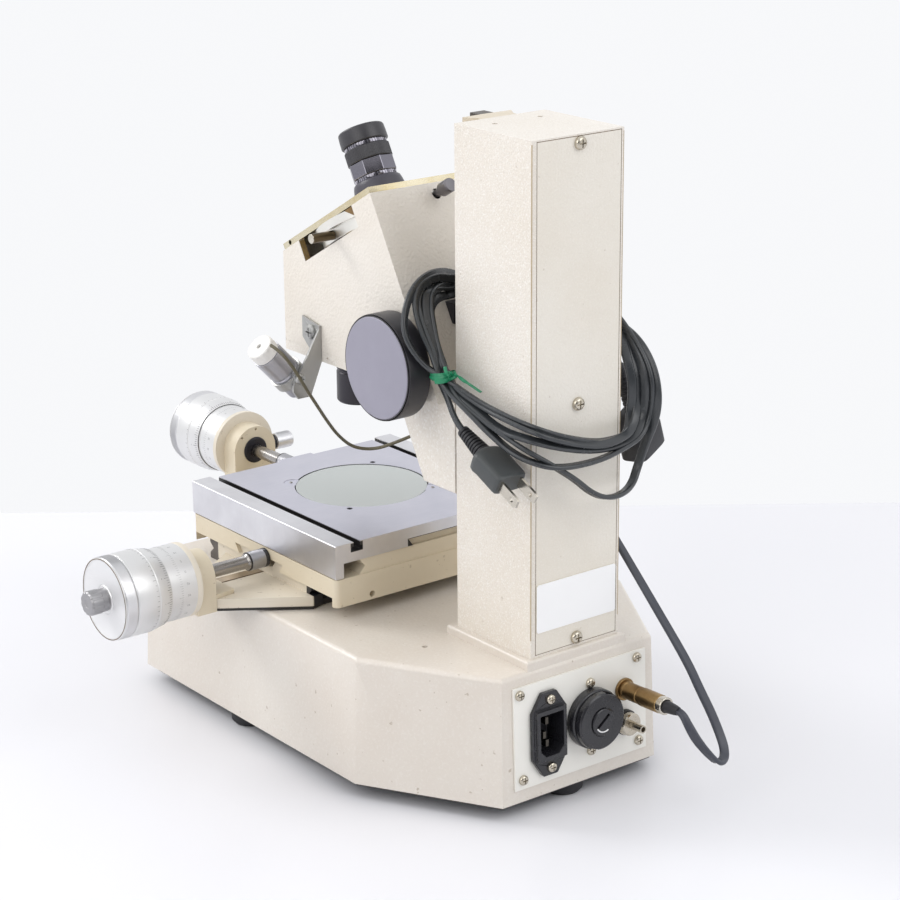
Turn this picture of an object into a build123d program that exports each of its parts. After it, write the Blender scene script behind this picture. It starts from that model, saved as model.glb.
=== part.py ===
from build123d import *
import math
import os

# Toolmakers microscope. Millimetres, +Z up. Working frame: x = 0 on the column's
# centre plane (+X is the operator's right), y = 0 on the column's rear face, z = 0
# on the table. On export everything is shifted by -SHIFT, so that the origin is the
# centre of the footprint of the instrument's bounding box.
SHIFT_X = 48.1
SHIFT_Y = -185.102

# ---- driving dimensions -------------------------------------------------------
BASE_Z0, BASE_Z1 = 9.0, 84.0          # base casting, lower and upper edge
DRAFT = 2.06                          # degrees
BASE_PLAN = [(-55.7, 5.75), (55.7, 5.75), (100.3, -70.8), (100.3, -293.0), (-100.3, -293.0), (-100.3, -70.8)]
COL_HW, COL_Y0, COL_Y1 = 31.5, -65.0, 0.0
COL_Z0, COL_Z1 = 89.0, 375.0
RAIL_Y, RACK_Y = -76.0, -87.0         # front faces of the rail and of the rack's teeth
HEAD_HW = 40.0
TILT = 29.2                           # slope of the head's top plate, degrees
APEX = (-131.7, 330.9)                # rear upper edge of the top plate (y, z)
TOP_LEN = 98.0                        # length of the top plate down its slope
HEAD_BOTTOM, HEAD_SEAM = 219.8, 225.4
EYE_S = 45.0                          # eyepiece axis, measured down the slope
PINION_Y, PINION_Z = -98.0, 238.0
GEAR_M, PINION_N = 1.0, 24            # module and teeth
OPT_Y = -200.0                        # optical axis
STAGE_X, STAGE_Y0, STAGE_Y1 = 75.5, -271.3, -120.4
STAGE_TOP = 130.3
GLASS_R = 39.9
XM_Y, XM_Z = -192.5, 103.5            # axis of the X micrometer
YM_X, YM_Z = 0.0, 123.7               # axis of the Y micrometer

N = {}


def add(name, *shapes):
    N.setdefault(name, []).extend(shapes)


def box(x0, x1, y0, y1, z0, z1):
    return Solid.make_box(x1 - x0, y1 - y0, z1 - z0, plane=Plane((x0, y0, z0)))


def cyl(p, d, r, length):
    return Solid.make_cylinder(r, length, plane=Plane(origin=p, z_dir=d))


def prism(points, vector):
    return Solid.extrude(Face(Wire.make_polygon([Vector(*p) for p in points], close=True)), Vector(*vector))


def prism_x(yz, x0, x1):
    return prism([(x0, y, z) for y, z in yz], (x1 - x0, 0, 0))


def prism_y(xz, y0, y1):
    return prism([(x, y0, z) for x, z in xz], (0, y1 - y0, 0))


def prism_z(xy, z0, z1):
    return prism([(x, y, z0) for x, y in xy], (0, 0, z1 - z0))


def rev(profile, p, d):
    """Solid of revolution about the axis through p along d; profile is (radius, height)."""
    f = Face(Wire.make_polygon([Vector(r, 0, h) for r, h in profile], close=True))
    return Solid.revolve(f, 360, Axis.Z).moved(Location(Plane(origin=p, z_dir=d)))


def tube(p, d, r0, r1, length):
    return rev([(r0, 0), (r1, 0), (r1, length), (r0, length)], p, d)


def one(shape):
    return shape.solids()[0]


def pan_screw(p, d, head_r, head_h, shank_r, shank_l):
    """Pan-head screw with a crossed recess; p is under the head, d points out."""
    prof = [(0, -shank_l), (shank_r, -shank_l), (shank_r, 0), (head_r, 0), (head_r, head_h * 0.45), (head_r * 0.86, head_h * 0.8), (head_r * 0.55, head_h), (0, head_h)]
    s = rev(prof, p, d)
    pl = Plane(origin=p, z_dir=d)
    w, l, e = head_r * 0.2, head_r * 0.62, head_h * 0.55
    a = Solid.make_box(2 * l, w, e + 1, plane=Plane((-l, -w / 2, head_h - e))).moved(Location(pl))
    b = Solid.make_box(w, 2 * l, e + 1, plane=Plane((-w / 2, -l, head_h - e))).moved(Location(pl))
    return one(s - a - b)


def vround(solid, radius, test):
    """Rounds the vertical edges whose centre passes test."""
    e = [k for k in solid.edges() if k.geom_type == GeomType.LINE and abs(k.tangent_at(0.5).Z) > 0.95 and test(k.center())]
    return solid.fillet(radius, e) if e else solid


# ---- base ---------------------------------------------------------------------
tan_d = math.tan(math.radians(DRAFT))


def plan_at(inset):
    """The base's outline, drawn in by inset."""
    w = Wire.make_polygon([Vector(x, y, 0) for x, y in BASE_PLAN], close=True)
    return Face(w.offset_2d(-inset) if inset else w)


outer = Solid.extrude_taper(plan_at(0), Vector(0, 0, BASE_Z1 - BASE_Z0), DRAFT)
outer = outer.moved(Location((0, 0, BASE_Z0)))
outer = vround(outer, 5.0, lambda c: c.Y > -100)
outer = vround(outer, 12.0, lambda c: c.Y < -200)
top_edges = [e for e in outer.edges() if abs(e.center().Z - BASE_Z1) < 0.01]
outer = outer.fillet(3.0, top_edges)
inner = Solid.extrude_taper(plan_at(7.0), Vector(0, 0, 70.0 + 1.0), DRAFT).moved(Location((0, 0, BASE_Z0 - 1.0)))
pad = box(-35.5, 35.5, -69.5, 2.2, BASE_Z1 - 4, COL_Z0)
pad = pad.fillet(1.6, [e for e in pad.edges() if abs(e.center().Z - COL_Z0) < 0.01])
base = outer + pad - inner
rear_window = box(-40.5, 40.5, -6, 10, 22, 72)
front_sw_hole = box(-55.5, -34.5, -300, -270, 42.8, 57.2)
base = base - rear_window - front_sw_hole
base = base - cyl((0, OPT_Y, 70), (0, 0, 1), 24.0, 20)
base = base - cyl((57.5, -61, 78), (0, 0, 1), 1.6, 8)
CORNER = [(43.3, 25.6), (42.0, -24.4), (-41.8, 26.0), (-42.6, -24.4)]
PANEL = Location(Plane(origin=(0, 4.45, 47), x_dir=(-1, 0, 0), z_dir=(0, math.cos(math.radians(DRAFT)), math.sin(math.radians(DRAFT)))))
for cx_, cz_ in CORNER:
    base = base - cyl((-cx_, cz_, -12), (0, 0, 1), 1.45, 16).moved(PANEL)
add("base_casting", one(base))

bp = Solid.extrude(plan_at(1.6), Vector(0, 0, 1.5)).moved(Location((0, 0, 7.5)))
bp = vround(bp, 4.0, lambda c: c.Y > -100)
bp = vround(bp, 10.5, lambda c: c.Y < -200)
add("base_bottom_plate", one(bp))
for fx, fy in ((86.5, -197.0), (-86.5, -197.0), (1.0, -8.5)):
    add("rubber_feet", rev([(0, 0), (9.6, 0), (11.6, 2.2), (12, 7.5), (0, 7.5)], (fx, fy, 0), (0, 0, 1)))

# ---- column ---------------------------------------------------------------------
COV_X0, COV_X1 = -29.6, 27.9
col = box(-COL_HW, COL_HW, COL_Y0, COL_Y1, COL_Z0, COL_Z1)
col = col - box(-29.0, 27.4, -57.0, 5, COL_Z0 + 9, COL_Z1 - 8) - box(COV_X0 - 0.25, COV_X1 + 0.25, -1.75, 5, COL_Z0 + 1.6, COL_Z1 - 1.0)
col = col + box(-29.0, 27.4, -14, -1.75, 223, 235)
for hx, hy in ((15.5, -50), (-16.5, -51)):
    col = col - cyl((hx, hy, COL_Z1 - 6), (0, 0, 1), 1.7, 8)
SCREW_Z = (370.2, 228.9, 94.3)
for sz in SCREW_Z:
    col = col - cyl((-0.8, -10, sz), (0, 1, 0), 1.75, 12)
col = vround(one(col), 0.8, lambda c: abs(c.X) > 31 and c.Y < -60)
add("column_casting", one(col))
cover = box(COV_X0, COV_X1, -1.6, 0.0, COL_Z0 + 1.8, COL_Z1 - 1.2)
for sz in SCREW_Z:
    cover = cover - cyl((-0.8, -5, sz), (0, 1, 0), 1.75, 8)
    add("frame_screws", pan_screw((-0.8, 0.0, sz), (0, 1, 0), 3.7, 2.6, 1.7, 9))
add("column_rear_cover", one(cover))
add("column_rear_cover", box(-28.9, 27.5, 0.0, 0.5, 103.4, 131.2))

# dovetail rail and rack on the column's front
rail = prism_z([(-12, COL_Y0), (12, COL_Y0), (12, -68), (17, RAIL_Y), (-17, RAIL_Y), (-12, -68)], 92, 375)
add("guide_rail", rail)
p_t = math.pi * GEAR_M
pitch_y = PINION_Y + GEAR_M * PINION_N / 2
half = p_t / 4 - 0.14
ta = math.tan(math.radians(20))
rack = [(RAIL_Y, 150.0), (RAIL_Y, 375.0)]
ks = [k for k in range(-60, 60) if 152.5 < PINION_Z + (k + 0.5) * p_t < 371.5]
root_y, tip_y = pitch_y + 1.25 * GEAR_M, pitch_y - 0.95 * GEAR_M
rack.append((root_y, 375.0))
for k in reversed(ks):
    c = PINION_Z + (k + 0.5) * p_t
    hr, ht = half + 1.25 * GEAR_M * ta, half - 0.95 * GEAR_M * ta
    rack += [(root_y, c + hr), (tip_y, c + ht), (tip_y, c - ht), (root_y, c - hr)]
rack.append((root_y, 150.0))
add("guide_rail", prism_x(rack, -5, 5))

# ---- rear panel -------------------------------------------------------------------
def pan(x, z, h):
    """Panel coordinates: x as in the working frame, z above the panel's middle, h outward."""
    return (-x, z, h)


panel = Solid.make_box(96.0, 60.0, 1.2, plane=Plane((-47.5, -30.0, 0.0)))
IX, IZ = 24.1, -1.0
FX, FZ = -7.2, -0.4
LX, LZ = -32.0, 9.6
GX, GZ = -32.3, -10.4
panel = panel - Solid.make_box(21.4, 30.4, 10, plane=Plane((-IX - 10.7, IZ - 15.2, -5)))
for x, z, r in ((FX, FZ, 11.2), (LX, LZ, 4.7), (GX, GZ, 2.2)):
    panel = panel - cyl(pan(x, z, -5), (0, 0, 1), r, 10)
for x, z in CORNER:
    panel = panel - cyl(pan(x, z, -5), (0, 0, 1), 1.5, 10)
for x, z in ((IX - 0.5, IZ + 20), (IX - 0.5, IZ - 20), (FX, FZ + 20.2), (FX, FZ - 20.2)):
    panel = panel - cyl(pan(x, z, -5), (0, 0, 1), 1.3, 10)
add("rear_panel", one(panel).moved(PANEL))
for x, z in CORNER:
    add("frame_screws", pan_screw(pan(x, z, 1.2), (0, 0, 1), 2.9, 2.1, 1.45, 9).moved(PANEL))
for z in (FZ + 20.2, FZ - 20.2):
    add("frame_screws", pan_screw(pan(FX, z, 1.2), (0, 0, 1), 2.9, 2.1, 1.25, 4).moved(PANEL))
for z in (IZ + 20, IZ - 20):
    add("frame_screws", pan_screw(pan(IX - 0.5, z, 3.7), (0, 0, 1), 2.9, 2.1, 1.25, 6).moved(PANEL))

# mains inlet: flange with pointed ends, raised rim, shaped cavity
fl = [(-12.4, -13.5), (-5.0, -24.6), (5.0, -24.6), (12.4, -13.5), (12.4, 13.5), (5.0, 24.6), (-5.0, 24.6), (-12.4, 13.5)]
inlet = prism([(-IX + x, IZ + z, 1.2) for x, z in fl], (0, 0, 2.5))
inlet = inlet + Solid.make_box(20.8, 29.8, 26.0, plane=Plane((-IX - 10.4, IZ - 14.9, -20.0)))
cav = [(-8.2, -8.4), (-4.6, -12.2), (4.6, -12.2), (8.2, -8.4), (8.2, 12.2), (-8.2, 12.2)]
inlet = inlet - prism([(-IX + x, IZ + z, -9.0) for x, z in cav], (0, 0, 20))
inlet = inlet - cyl((-IX + 0.5, IZ + 20, -3), (0, 0, 1), 1.3, 10) - cyl((-IX + 0.5, IZ - 20, -3), (0, 0, 1), 1.3, 10)
add("mains_inlet", one(inlet).moved(PANEL))
for x, z in ((0.0, 6.6), (1.8, -1.4), (0.0, -6.6)):
    add("panel_terminals", Solid.make_box(2.0, 4.0, 28.0, plane=Plane((-IX - x - 1.0, IZ + z - 2.0, -27.0))).moved(PANEL))
one_inlet = N["mains_inlet"][0]
for pin in N["panel_terminals"]:
    one_inlet = one_inlet - pin
N["mains_inlet"] = [one(one_inlet)]

# fuse holder
fh = rev([(5.0, -34), (10.9, -34), (10.9, 1.2), (17.3, 1.2), (17.3, 6.4), (16.5, 7.2), (9.0, 7.2), (9.0, -30), (5.0, -30)], pan(FX, FZ, 0), (0, 0, 1))
add("fuse_holder_body", fh.moved(PANEL))
fc = rev([(0, -6), (8.7, -6), (8.7, 7.5), (15.9, 7.5), (16.4, 8.0), (16.4, 11.0), (15.4, 11.9), (8.4, 11.9), (8.4, 11.2), (7.9, 11.2), (7.9, 12.6), (7.4, 13.0), (0, 13.0)], pan(FX, FZ, 0), (0, 0, 1))
fc = fc - Solid.make_box(11.0, 1.8, 3.0, plane=Plane(origin=pan(FX, FZ, 11.4), x_dir=(1, 0.75, 0), z_dir=(0, 0, 1)).move(Location((0, 0, 0)))).moved(Location((-4.4, -3.3, 0)))
for s in (1, -1):
    fc = fc - Solid.make_box(5.0, 5.0, 4.0, plane=Plane((-FX + s * 5.5 - 2.5, FZ + s * 15.4 - 2.5, 7.4)))
fc = fc - cyl(pan(FX, FZ, -7), (0, 0, 1), 3.35, 9)
add("fuse_cap", one(fc).moved(PANEL))
add("fuse_cap", cyl(pan(FX, FZ, -18), (0, 0, 1), 3.15, 19.5).moved(PANEL))

# surface-lamp socket and ground terminal
sock = rev([(0, -14), (4.6, -14), (4.6, 1.2), (6.4, 1.2), (6.4, 2.8), (0, 2.8)], pan(LX, LZ, 0), (0, 0, 1))
add("panel_terminals", sock.moved(PANEL))
gc = rev([(0, -10), (2.1, -10), (2.1, 1.2), (7.0, 1.2), (7.0, 4.0), (0, 4.0)], pan(GX, GZ, 0), (0, 0, 1))
stud = rev([(0, 4.0), (2.3, 4.0), (2.3, 17.2), (1.5, 17.2), (1.5, 12.0), (0, 12.0)], pan(GX, GZ, 0), (0, 0, 1))
add("panel_terminals", one(gc + stud).moved(PANEL))
nut = rev([(2.3, 4.0), (6.6, 4.0), (6.6, 7.4), (6.0, 8.2), (2.3, 8.2)], pan(GX, GZ, 0), (0, 0, 1))
add("panel_terminals", nut.moved(PANEL))

# brass connector on the lamp lead
plug = rev([(2.4, 2.8), (5.2, 2.8), (5.2, 15.4), (4.9, 15.8), (4.9, 16.6), (5.3, 17.0), (5.3, 33.5), (4.9, 36.6), (2.4, 36.6)], pan(LX, LZ, 0), (0, 0, 1))
plug = plug + cyl(pan(LX, LZ, 2.8), (0, 0, 1), 2.6, 20)
add("lamp_connector", one(plug).moved(PANEL))

# ---- front controls (on the hidden side) --------------------------------------------
FRONT = Location(Plane(origin=(0, -291.53, 50), x_dir=(-1, 0, 0), z_dir=(0, -math.cos(math.radians(DRAFT)), math.sin(math.radians(DRAFT)))))
sw = Solid.make_box(24.0, 17.0, 1.8, plane=Plane((33.0, -8.5, 0.0))) + Solid.make_box(20.0, 13.2, 18.0, plane=Plane((35.0, -6.6, -17.0)))
sw = sw - Solid.make_box(18.2, 10.4, 14.0, plane=Plane((35.9, -5.2, -8.0)))
add("switch_body", one(sw).moved(FRONT))
rock = prism([(36.9, -4.9, 1.0), (53.1, -4.9, 1.0), (53.1, -4.9, 2.0), (45.0, -4.9, 3.4), (36.9, -4.9, 4.2)], (0, 9.8, 0))
rock = rock + prism([(39.5, -4.9, 1.05), (50.5, -4.9, 1.05), (45.0, -4.9, -3.0)], (0, 9.8, 0))
add("power_rocker", one(rock).moved(FRONT))

# ---- illumination in the base ---------------------------------------------------------
core = box(-33, 33, -92, -40, 9.2, 58)
add("transformer", one(core.chamfer(2.0, None, core.edges().filter_by(Axis.Z))))
lamp_tube = cyl((0, -160, 36), (0, 1, 0), 16.5, 56.0) + box(-13, 13, -160, -104, 9.2, 30)
lamp_tube = lamp_tube - cyl((0, -161, 36), (0, 1, 0), 13.95, 55.0)
add("contour_lamp_tube", one(lamp_tube))
add("base_optics", rev([(0, 0), (4.4, 0), (4.4, 9), (6.6, 14), (7.4, 19), (6.0, 24), (2.5, 26.5), (0, 27)], (0, -106, 36), (0, -1, 0)))
add("base_optics", rev([(0, 0), (13.95, 1.2), (13.95, 4.2), (0, 5.8)], (0, -158.0, 36), (0, 1, 0)))
add("base_optics", prism_x([(-222, 9.2), (-178, 9.2), (-222, 53.2)], -16, 16))
add("base_optics", rev([(0, 0), (23.6, 0), (23.6, 3), (0, 7.4)], (0, OPT_Y, 78.2), (0, 0, 1)))

# ---- stage ------------------------------------------------------------------------------
# fixed lower slide: grooved ridge, tongue, tapered arm
ridge = [(-257.4, 84.05), (-257.4, 87.6), (-253.6, 91.0), (-257.4, 94.4), (-257.4, 97.6), (-149.2, 97.6), (-149.2, 94.4), (-153.0, 91.0), (-149.2, 87.6), (-149.2, 84.05)]
xs = prism_x(ridge, -75.0, 73.0)
arm_plan = [(66.0, -245.0), (66.0, -148.0), (74.0, -146.0), (119.9, -178.2), (132.9, -178.2), (132.9, -206.8), (119.9, -206.8)]
xs = xs + prism_z(arm_plan, 84.6, 92.0)
tongue_x = [(-221.0, 97.6), (-225.0, 103.2), (-175.0, 103.2), (-179.0, 97.6)]
xs = xs + prism_x(tongue_x, -75.0, 73.0)
xs = xs - cyl((0, OPT_Y, 80), (0, 0, 1), 19.0, 30)
xs = one(xs)

# micrometer stations, measured from the contact face outward
M_BLOCK0, M_BLOCK1, M_FLANGE = 44.5, 57.5, 60.7
M_TH0, M_TH1, M_END = 78.0, 109.5, 121.0
SLEEVE_R, THIMBLE_R = 21.8, 24.4


def micrometer(prefix, contact, d, side):
    """side is a unit vector at right angles to d, towards the lock screw."""
    def at(h, off=0.0):
        return (contact[0] + d[0] * h + side[0] * off, contact[1] + d[1] * h + side[1] * off, contact[2] + side[2] * off)
    stem = [(4.05, M_BLOCK0 - 0.6), (8.0, M_BLOCK0 - 0.6), (8.4, M_BLOCK0 - 0.2), (8.4, M_BLOCK1), (21.2, M_BLOCK1), (21.2, M_FLANGE - 0.4), (20.8, M_FLANGE), (SLEEVE_R, M_FLANGE), (SLEEVE_R, 91.0), (18.8, 91.0), (18.8, 64.0), (8.0, 64.0), (8.0, 90.0), (4.05, 90.0)]
    add(prefix + "_micrometer_sleeve", one(rev(stem, at(0), d) - cyl(at((M_BLOCK0 + M_BLOCK1) / 2), side, 2.05, 20)))
    th = rev([(22.15, M_TH0), (22.6, M_TH0), (THIMBLE_R, M_TH0 + 8.5), (THIMBLE_R, 100.8), (THIMBLE_R + 0.2, 101.0), (THIMBLE_R + 0.2, M_TH1 - 0.6), (THIMBLE_R - 0.4, M_TH1), (0, M_TH1), (0, 104.0), (22.15, 104.0)], at(0), d)
    add(prefix + "_thimble", th)
    kn = rev([(0, M_TH1), (6.6, M_TH1), (6.6, M_TH1 + 4.2), (7.3, M_TH1 + 4.6), (7.3, M_END - 1.0), (6.4, M_END), (0, M_END)], at(0), d)
    for k in range(10):
        a = 2 * math.pi * k / 10
        up = Vector(0, 0, 1) * math.cos(a) + Vector(*side) * math.sin(a)
        q = Vector(*at(M_TH1 + 4.4)) + up * 8.2
        kn = kn - cyl((q.X, q.Y, q.Z), d, 1.35, 9)
    add(prefix + "_thimble", one(kn))
    sp = rev([(0, 0.1), (4.4, 0.1), (4.9, 0.6), (4.9, 1.1), (5.5, 1.1), (5.5, 12.5), (5.0, 13.0), (5.0, 13.8), (4.0, 14.6), (4.0, 103.9), (0, 103.9)], at(0), d)
    add(prefix + "_spindle", sp)
    # the lock screw stops short of the spindle
    lk = rev([(0, 4.4), (2.0, 4.4), (2.0, 15.9), (4.4, 15.9), (4.4, 18.9), (5.2, 19.2), (5.2, 30.6), (4.6, 31.3), (0, 31.3)], at((M_BLOCK0 + M_BLOCK1) / 2), side)
    add(prefix + "_lock_screw", lk)
    return cyl(at((M_BLOCK0 + M_BLOCK1) / 2, 7.0), side, 2.05, 12)


xc, xd, xside = (STAGE_X, XM_Y, XM_Z), (1, 0, 0), (0, -1, 0)
hole_x = micrometer("x", xc, xd, xside)
arch = prism([(STAGE_X + M_BLOCK0, XM_Y - 15.5, 84.6), (STAGE_X + M_BLOCK0, XM_Y + 15.5, 84.6), (STAGE_X + M_BLOCK0, XM_Y + 15.5, XM_Z), (STAGE_X + M_BLOCK0, XM_Y - 15.5, XM_Z)], (13.0, 0, 0))
block = arch + cyl((STAGE_X + M_BLOCK0, XM_Y, XM_Z), (1, 0, 0), 15.5, 13.0)
block = block - cyl((STAGE_X + 30, XM_Y, XM_Z), (1, 0, 0), 8.4, 40) - hole_x
# the block's foot laps over the arm
foot = prism_z([(106.0, -205.0), (106.0, -180.0), (120.2, -178.0), (120.2, -207.0)], 92.0, 94.6)
xs_all = xs - prism([(STAGE_X + M_BLOCK0, XM_Y - 40, 80), (STAGE_X + M_BLOCK0, XM_Y + 40, 80), (STAGE_X + M_BLOCK0, XM_Y + 40, 100), (STAGE_X + M_BLOCK0, XM_Y - 40, 100)], (20, 0, 0))
xs_all = xs_all - cyl((61.5, XM_Y, XM_Z), (1, 0, 0), 6.3, 16)
add("x_slide_base", one(xs_all))
add("x_micrometer_bracket", one(block + foot))
# two cap screws holding the bracket's foot
saddle_lo = box(-STAGE_X, STAGE_X, STAGE_Y0, STAGE_Y1, 92.6, 109.5)
saddle_lo = vround(saddle_lo, 3.0, lambda c: True)
saddle = saddle_lo - prism_x([(-269.4, 90), (-269.4, 98.0), (-124.6, 98.0), (-124.6, 90)], -80, 80)
saddle = saddle - prism_x([(-220.67, 97.0), (-225.24, 103.4), (-174.76, 103.4), (-179.33, 97.0)], -80, 80)
v_ridge = [(-58.2, 109.5), (-54.2, 114.0), (-58.2, 118.4), (58.2, 118.4), (54.2, 114.0), (58.2, 109.5)]
saddle = saddle + prism_y(v_ridge, STAGE_Y0 + 0.8, STAGE_Y1 - 0.8)
tongue_y = [(-20.0, 118.4), (-23.5, 123.0), (23.5, 123.0), (20.0, 118.4)]
saddle = saddle + prism_y(tongue_y, STAGE_Y0 + 3.0, STAGE_Y1 - 3.0)
saddle = saddle - cyl((0, STAGE_Y0 - 1, YM_Z), (0, 1, 0), 6.3, 16.0)
saddle = saddle - cyl((0, OPT_Y, 90), (0, 0, 1), 19.0, 40)
saddle = saddle - cyl((50.2, -125, 95.9), (0, 1, 0), 1.9, 8)
y_arm = prism_z([(-26.0, STAGE_Y0 + 3), (26.0, STAGE_Y0 + 3), (15.5, -315.8), (-15.5, -315.8)], 102.0, 109.4)
add("saddle", one(saddle + y_arm))
yc, yd, yside = (YM_X, STAGE_Y0, YM_Z), (0, -1, 0), (-1, 0, 0)
hole_y = micrometer("y", yc, yd, yside)
yb0 = STAGE_Y0 - M_BLOCK0
arch_y = box(-15.5, 15.5, yb0 - 13.0, yb0, 102.0, YM_Z) + cyl((0, yb0, YM_Z), (0, -1, 0), 15.5, 13.0)
arch_y = arch_y - cyl((0, yb0 + 12, YM_Z), (0, -1, 0), 8.4, 40) - hole_y
for hx, hz in ((9.6, 133.2), (-1.0, 137.2)):
    arch_y = arch_y - cyl((hx, yb0 + 1, hz), (0, -1, 0), 0.8, 4)
add("y_micrometer_bracket", one(arch_y))

# table: one machined body with legs, T-slots, recess for the glass
tb = box(-STAGE_X, STAGE_X, STAGE_Y0, STAGE_Y1, 110.0, STAGE_TOP)
tb = tb - prism_y([(-69.8, 100), (-69.8, 118.8), (69.8, 118.8), (69.8, 100)], STAGE_Y0 - 5, STAGE_Y1 + 5)
tb = tb - prism_y([(-19.80, 118.0), (-23.75, 123.2), (23.75, 123.2), (19.80, 118.0)], STAGE_Y0 - 5, STAGE_Y1 + 5)
for s in (1, -1):
    tb = tb - box(min(s * 58.3, s * 62.7), max(s * 58.3, s * 62.7), STAGE_Y0 - 5, STAGE_Y1 + 5, 125.0, 135)
    tb = tb - box(min(s * 56.4, s * 64.6), max(s * 56.4, s * 64.6), STAGE_Y0 - 5, STAGE_Y1 + 5, 124.6, 127.4)
    tb = tb - box(min(s * 76.5, s * 75.2), max(s * 76.5, s * 75.2), STAGE_Y0 - 5, STAGE_Y1 + 5, 109, 110.6)
for s in (1, -1):
    tb = tb - box(min(s * 12.5, s * 58.3), max(s * 12.5, s * 58.3), STAGE_Y0 - 5, STAGE_Y0 + 3.2, 118, 135)
gx, gy = -0.6, OPT_Y
D45 = math.sqrt(0.5)
tb = tb - cyl((gx, gy, 124.6), (0, 0, 1), GLASS_R + 0.7, 10) - cyl((gx, gy, 100), (0, 0, 1), 33.0, 40)
for s in (1, -1):
    tb = tb - cyl((gx + s * 42.2 * D45, gy - s * 42.2 * D45, 128.8), (0, 0, 1), 5.7, 4) - cyl((gx + s * 43.6 * D45, gy - s * 43.6 * D45, 122), (0, 0, 1), 1.3, 9)
for hx, hy in ((gx + 44.0 * D45, gy + 44.0 * D45), (gx - 44.0 * D45, gy - 44.0 * D45)):
    tb = tb - cyl((hx, hy, 126), (0, 0, 1), 1.7, 6)
tb = one(tb)
tb = tb.fillet(0.8, [e for e in tb.edges() if e.geom_type == GeomType.LINE and abs(e.tangent_at(0.5).Y) > 0.99 and abs(abs(e.center().X) - STAGE_X) < 0.01 and abs(e.center().Z - STAGE_TOP) < 0.01])
add("stage_table", one(tb))
add("stage_glass", cyl((gx, gy, 124.65), (0, 0, 1), GLASS_R, 5.3))
for s in (1, -1):
    clip = cyl((gx + s * 42.2 * D45, gy - s * 42.2 * D45, 128.85), (0, 0, 1), 5.5, 1.3) - cyl((gx, gy, 125), (0, 0, 1), GLASS_R + 0.1, 10)
    clip = one(clip) + cyl((gx + s * 43.6 * D45, gy - s * 43.6 * D45, 122.5), (0, 0, 1), 1.25, 6.4)
    add("glass_clips", one(clip))


def spring(p, d, r, wire, turns, length):
    """Return spring, as its wound turns about the axis."""
    h = Wire.make_helix(length / turns, length, r)
    start = h.position_at(0)
    prof = Face(Wire.make_circle(wire, Plane(origin=start, z_dir=h.tangent_at(0))))
    return Solid.sweep(prof, h, is_frenet=True).moved(Location(Plane(origin=p, z_dir=d)))


# ---- carriage and head ---------------------------------------------------------------------
ct, st = math.cos(math.radians(TILT)), math.sin(math.radians(TILT))


def head(x, s, h):
    """Point at x, s down the top plate's slope and h above its upper face."""
    return (x, APEX[0] - ct * s - st * h, APEX[1] - st * s + ct * h)


def yz(s, h):
    p = head(0, s, h)
    return (p[1], p[2])


NORMAL = (0, -st, ct)
UPHILL = (0, ct, st)
HEADLOC = Location(Plane(origin=(0, APEX[0], APEX[1]), x_dir=(1, 0, 0), z_dir=NORMAL))  # local y is uphill


def rear_y(z):
    """The head's sloping rear face."""
    return APEX[0] + (APEX[1] - z) * st / ct


chan = box(-18.2, 18.2, -77.2, -50, 150, 260) + box(-6.6, 6.6, -90.5, -50, 150, 262)
arm = prism_x([(-66.0, 167.0), (-95.0, 167.0), (-124.0, HEAD_BOTTOM), (-66.0, HEAD_BOTTOM)], -31.5, 31.5)
female = prism_z([(-12.12, -60), (12.12, -60), (12.12, -68.06), (17.2, RAIL_Y - 0.1), (-17.2, RAIL_Y - 0.1), (-12.12, -68.06)], 150, 230)
arm = arm - female - box(-6.6, 6.6, -89, -60, 150, 230)
arm = one(arm)
arm = arm.fillet(1.2, [e for e in arm.edges() if abs(abs(e.center().X) - 31.5) < 0.01 and e.length > 20 and e.center().Y < -70 and e.center().Z < HEAD_BOTTOM - 1])
add("carriage_arm", one(arm))

f0 = -217.4
hb = prism_x([(f0, HEAD_BOTTOM), (f0, HEAD_SEAM - 0.1), (rear_y(HEAD_SEAM), HEAD_SEAM - 0.1), (rear_y(HEAD_BOTTOM), HEAD_BOTTOM)], -HEAD_HW, HEAD_HW)
hb = hb - chan - cyl((0, OPT_Y, 200), (0, 0, 1), 12.1, 40) - cyl((0, PINION_Y, 190), (0, 0, 1), 0.5, 1)
hb = hb - box(-12, 12, PINION_Y - 14.5, -60, 200, 230)
for s in (1, -1):
    hb = hb - cyl((s * (HEAD_HW - 4), -174.7, 222.6), (s, 0, 0), 0.9, 6)
mb = prism_x([(-212, 225.0), (-212, 280.0), (-188.5, 256.5), (-188.5, 225.0)], -14, 14) - cyl((0, OPT_Y, 220), (0, 0, 1), 12.1, 60)
pb_ = prism_x([(-160, 225.0), (-130.5, 225.0), (-130.5, 253.4), (-160, 253.4)], -13, 13) - prism_x([(-156, 229), (-134.5, 229), (-134.5, 250), (-156, 250)], -20, 20)
hb = one(hb) + mb + pb_
add("head_bottom_plate", one(hb))
PLATE_T = 3.5
prof = [(f0, HEAD_SEAM), (f0, yz(TOP_LEN, -PLATE_T)[1]), yz(TOP_LEN - 1.0, -PLATE_T), yz(0, -PLATE_T), (rear_y(HEAD_SEAM), HEAD_SEAM)]
prof[1] = (f0, APEX[1] - PLATE_T / ct - (APEX[0] - f0) * st / ct)
prof[2] = ((prof[1][0] + yz(0, -PLATE_T)[0]) / 2, (prof[1][1] + yz(0, -PLATE_T)[1]) / 2)
hs = prism_x([prof[0], prof[1], prof[3], prof[4]], -HEAD_HW, HEAD_HW)
W = 4.0
in0, in1, in3, in4 = (f0 + W, HEAD_SEAM - 1), (f0 + W, prof[1][1] + W * st / ct + 2), (yz(W, -PLATE_T + 2)), (rear_y(HEAD_SEAM) - W / ct, HEAD_SEAM - 1)
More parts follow.
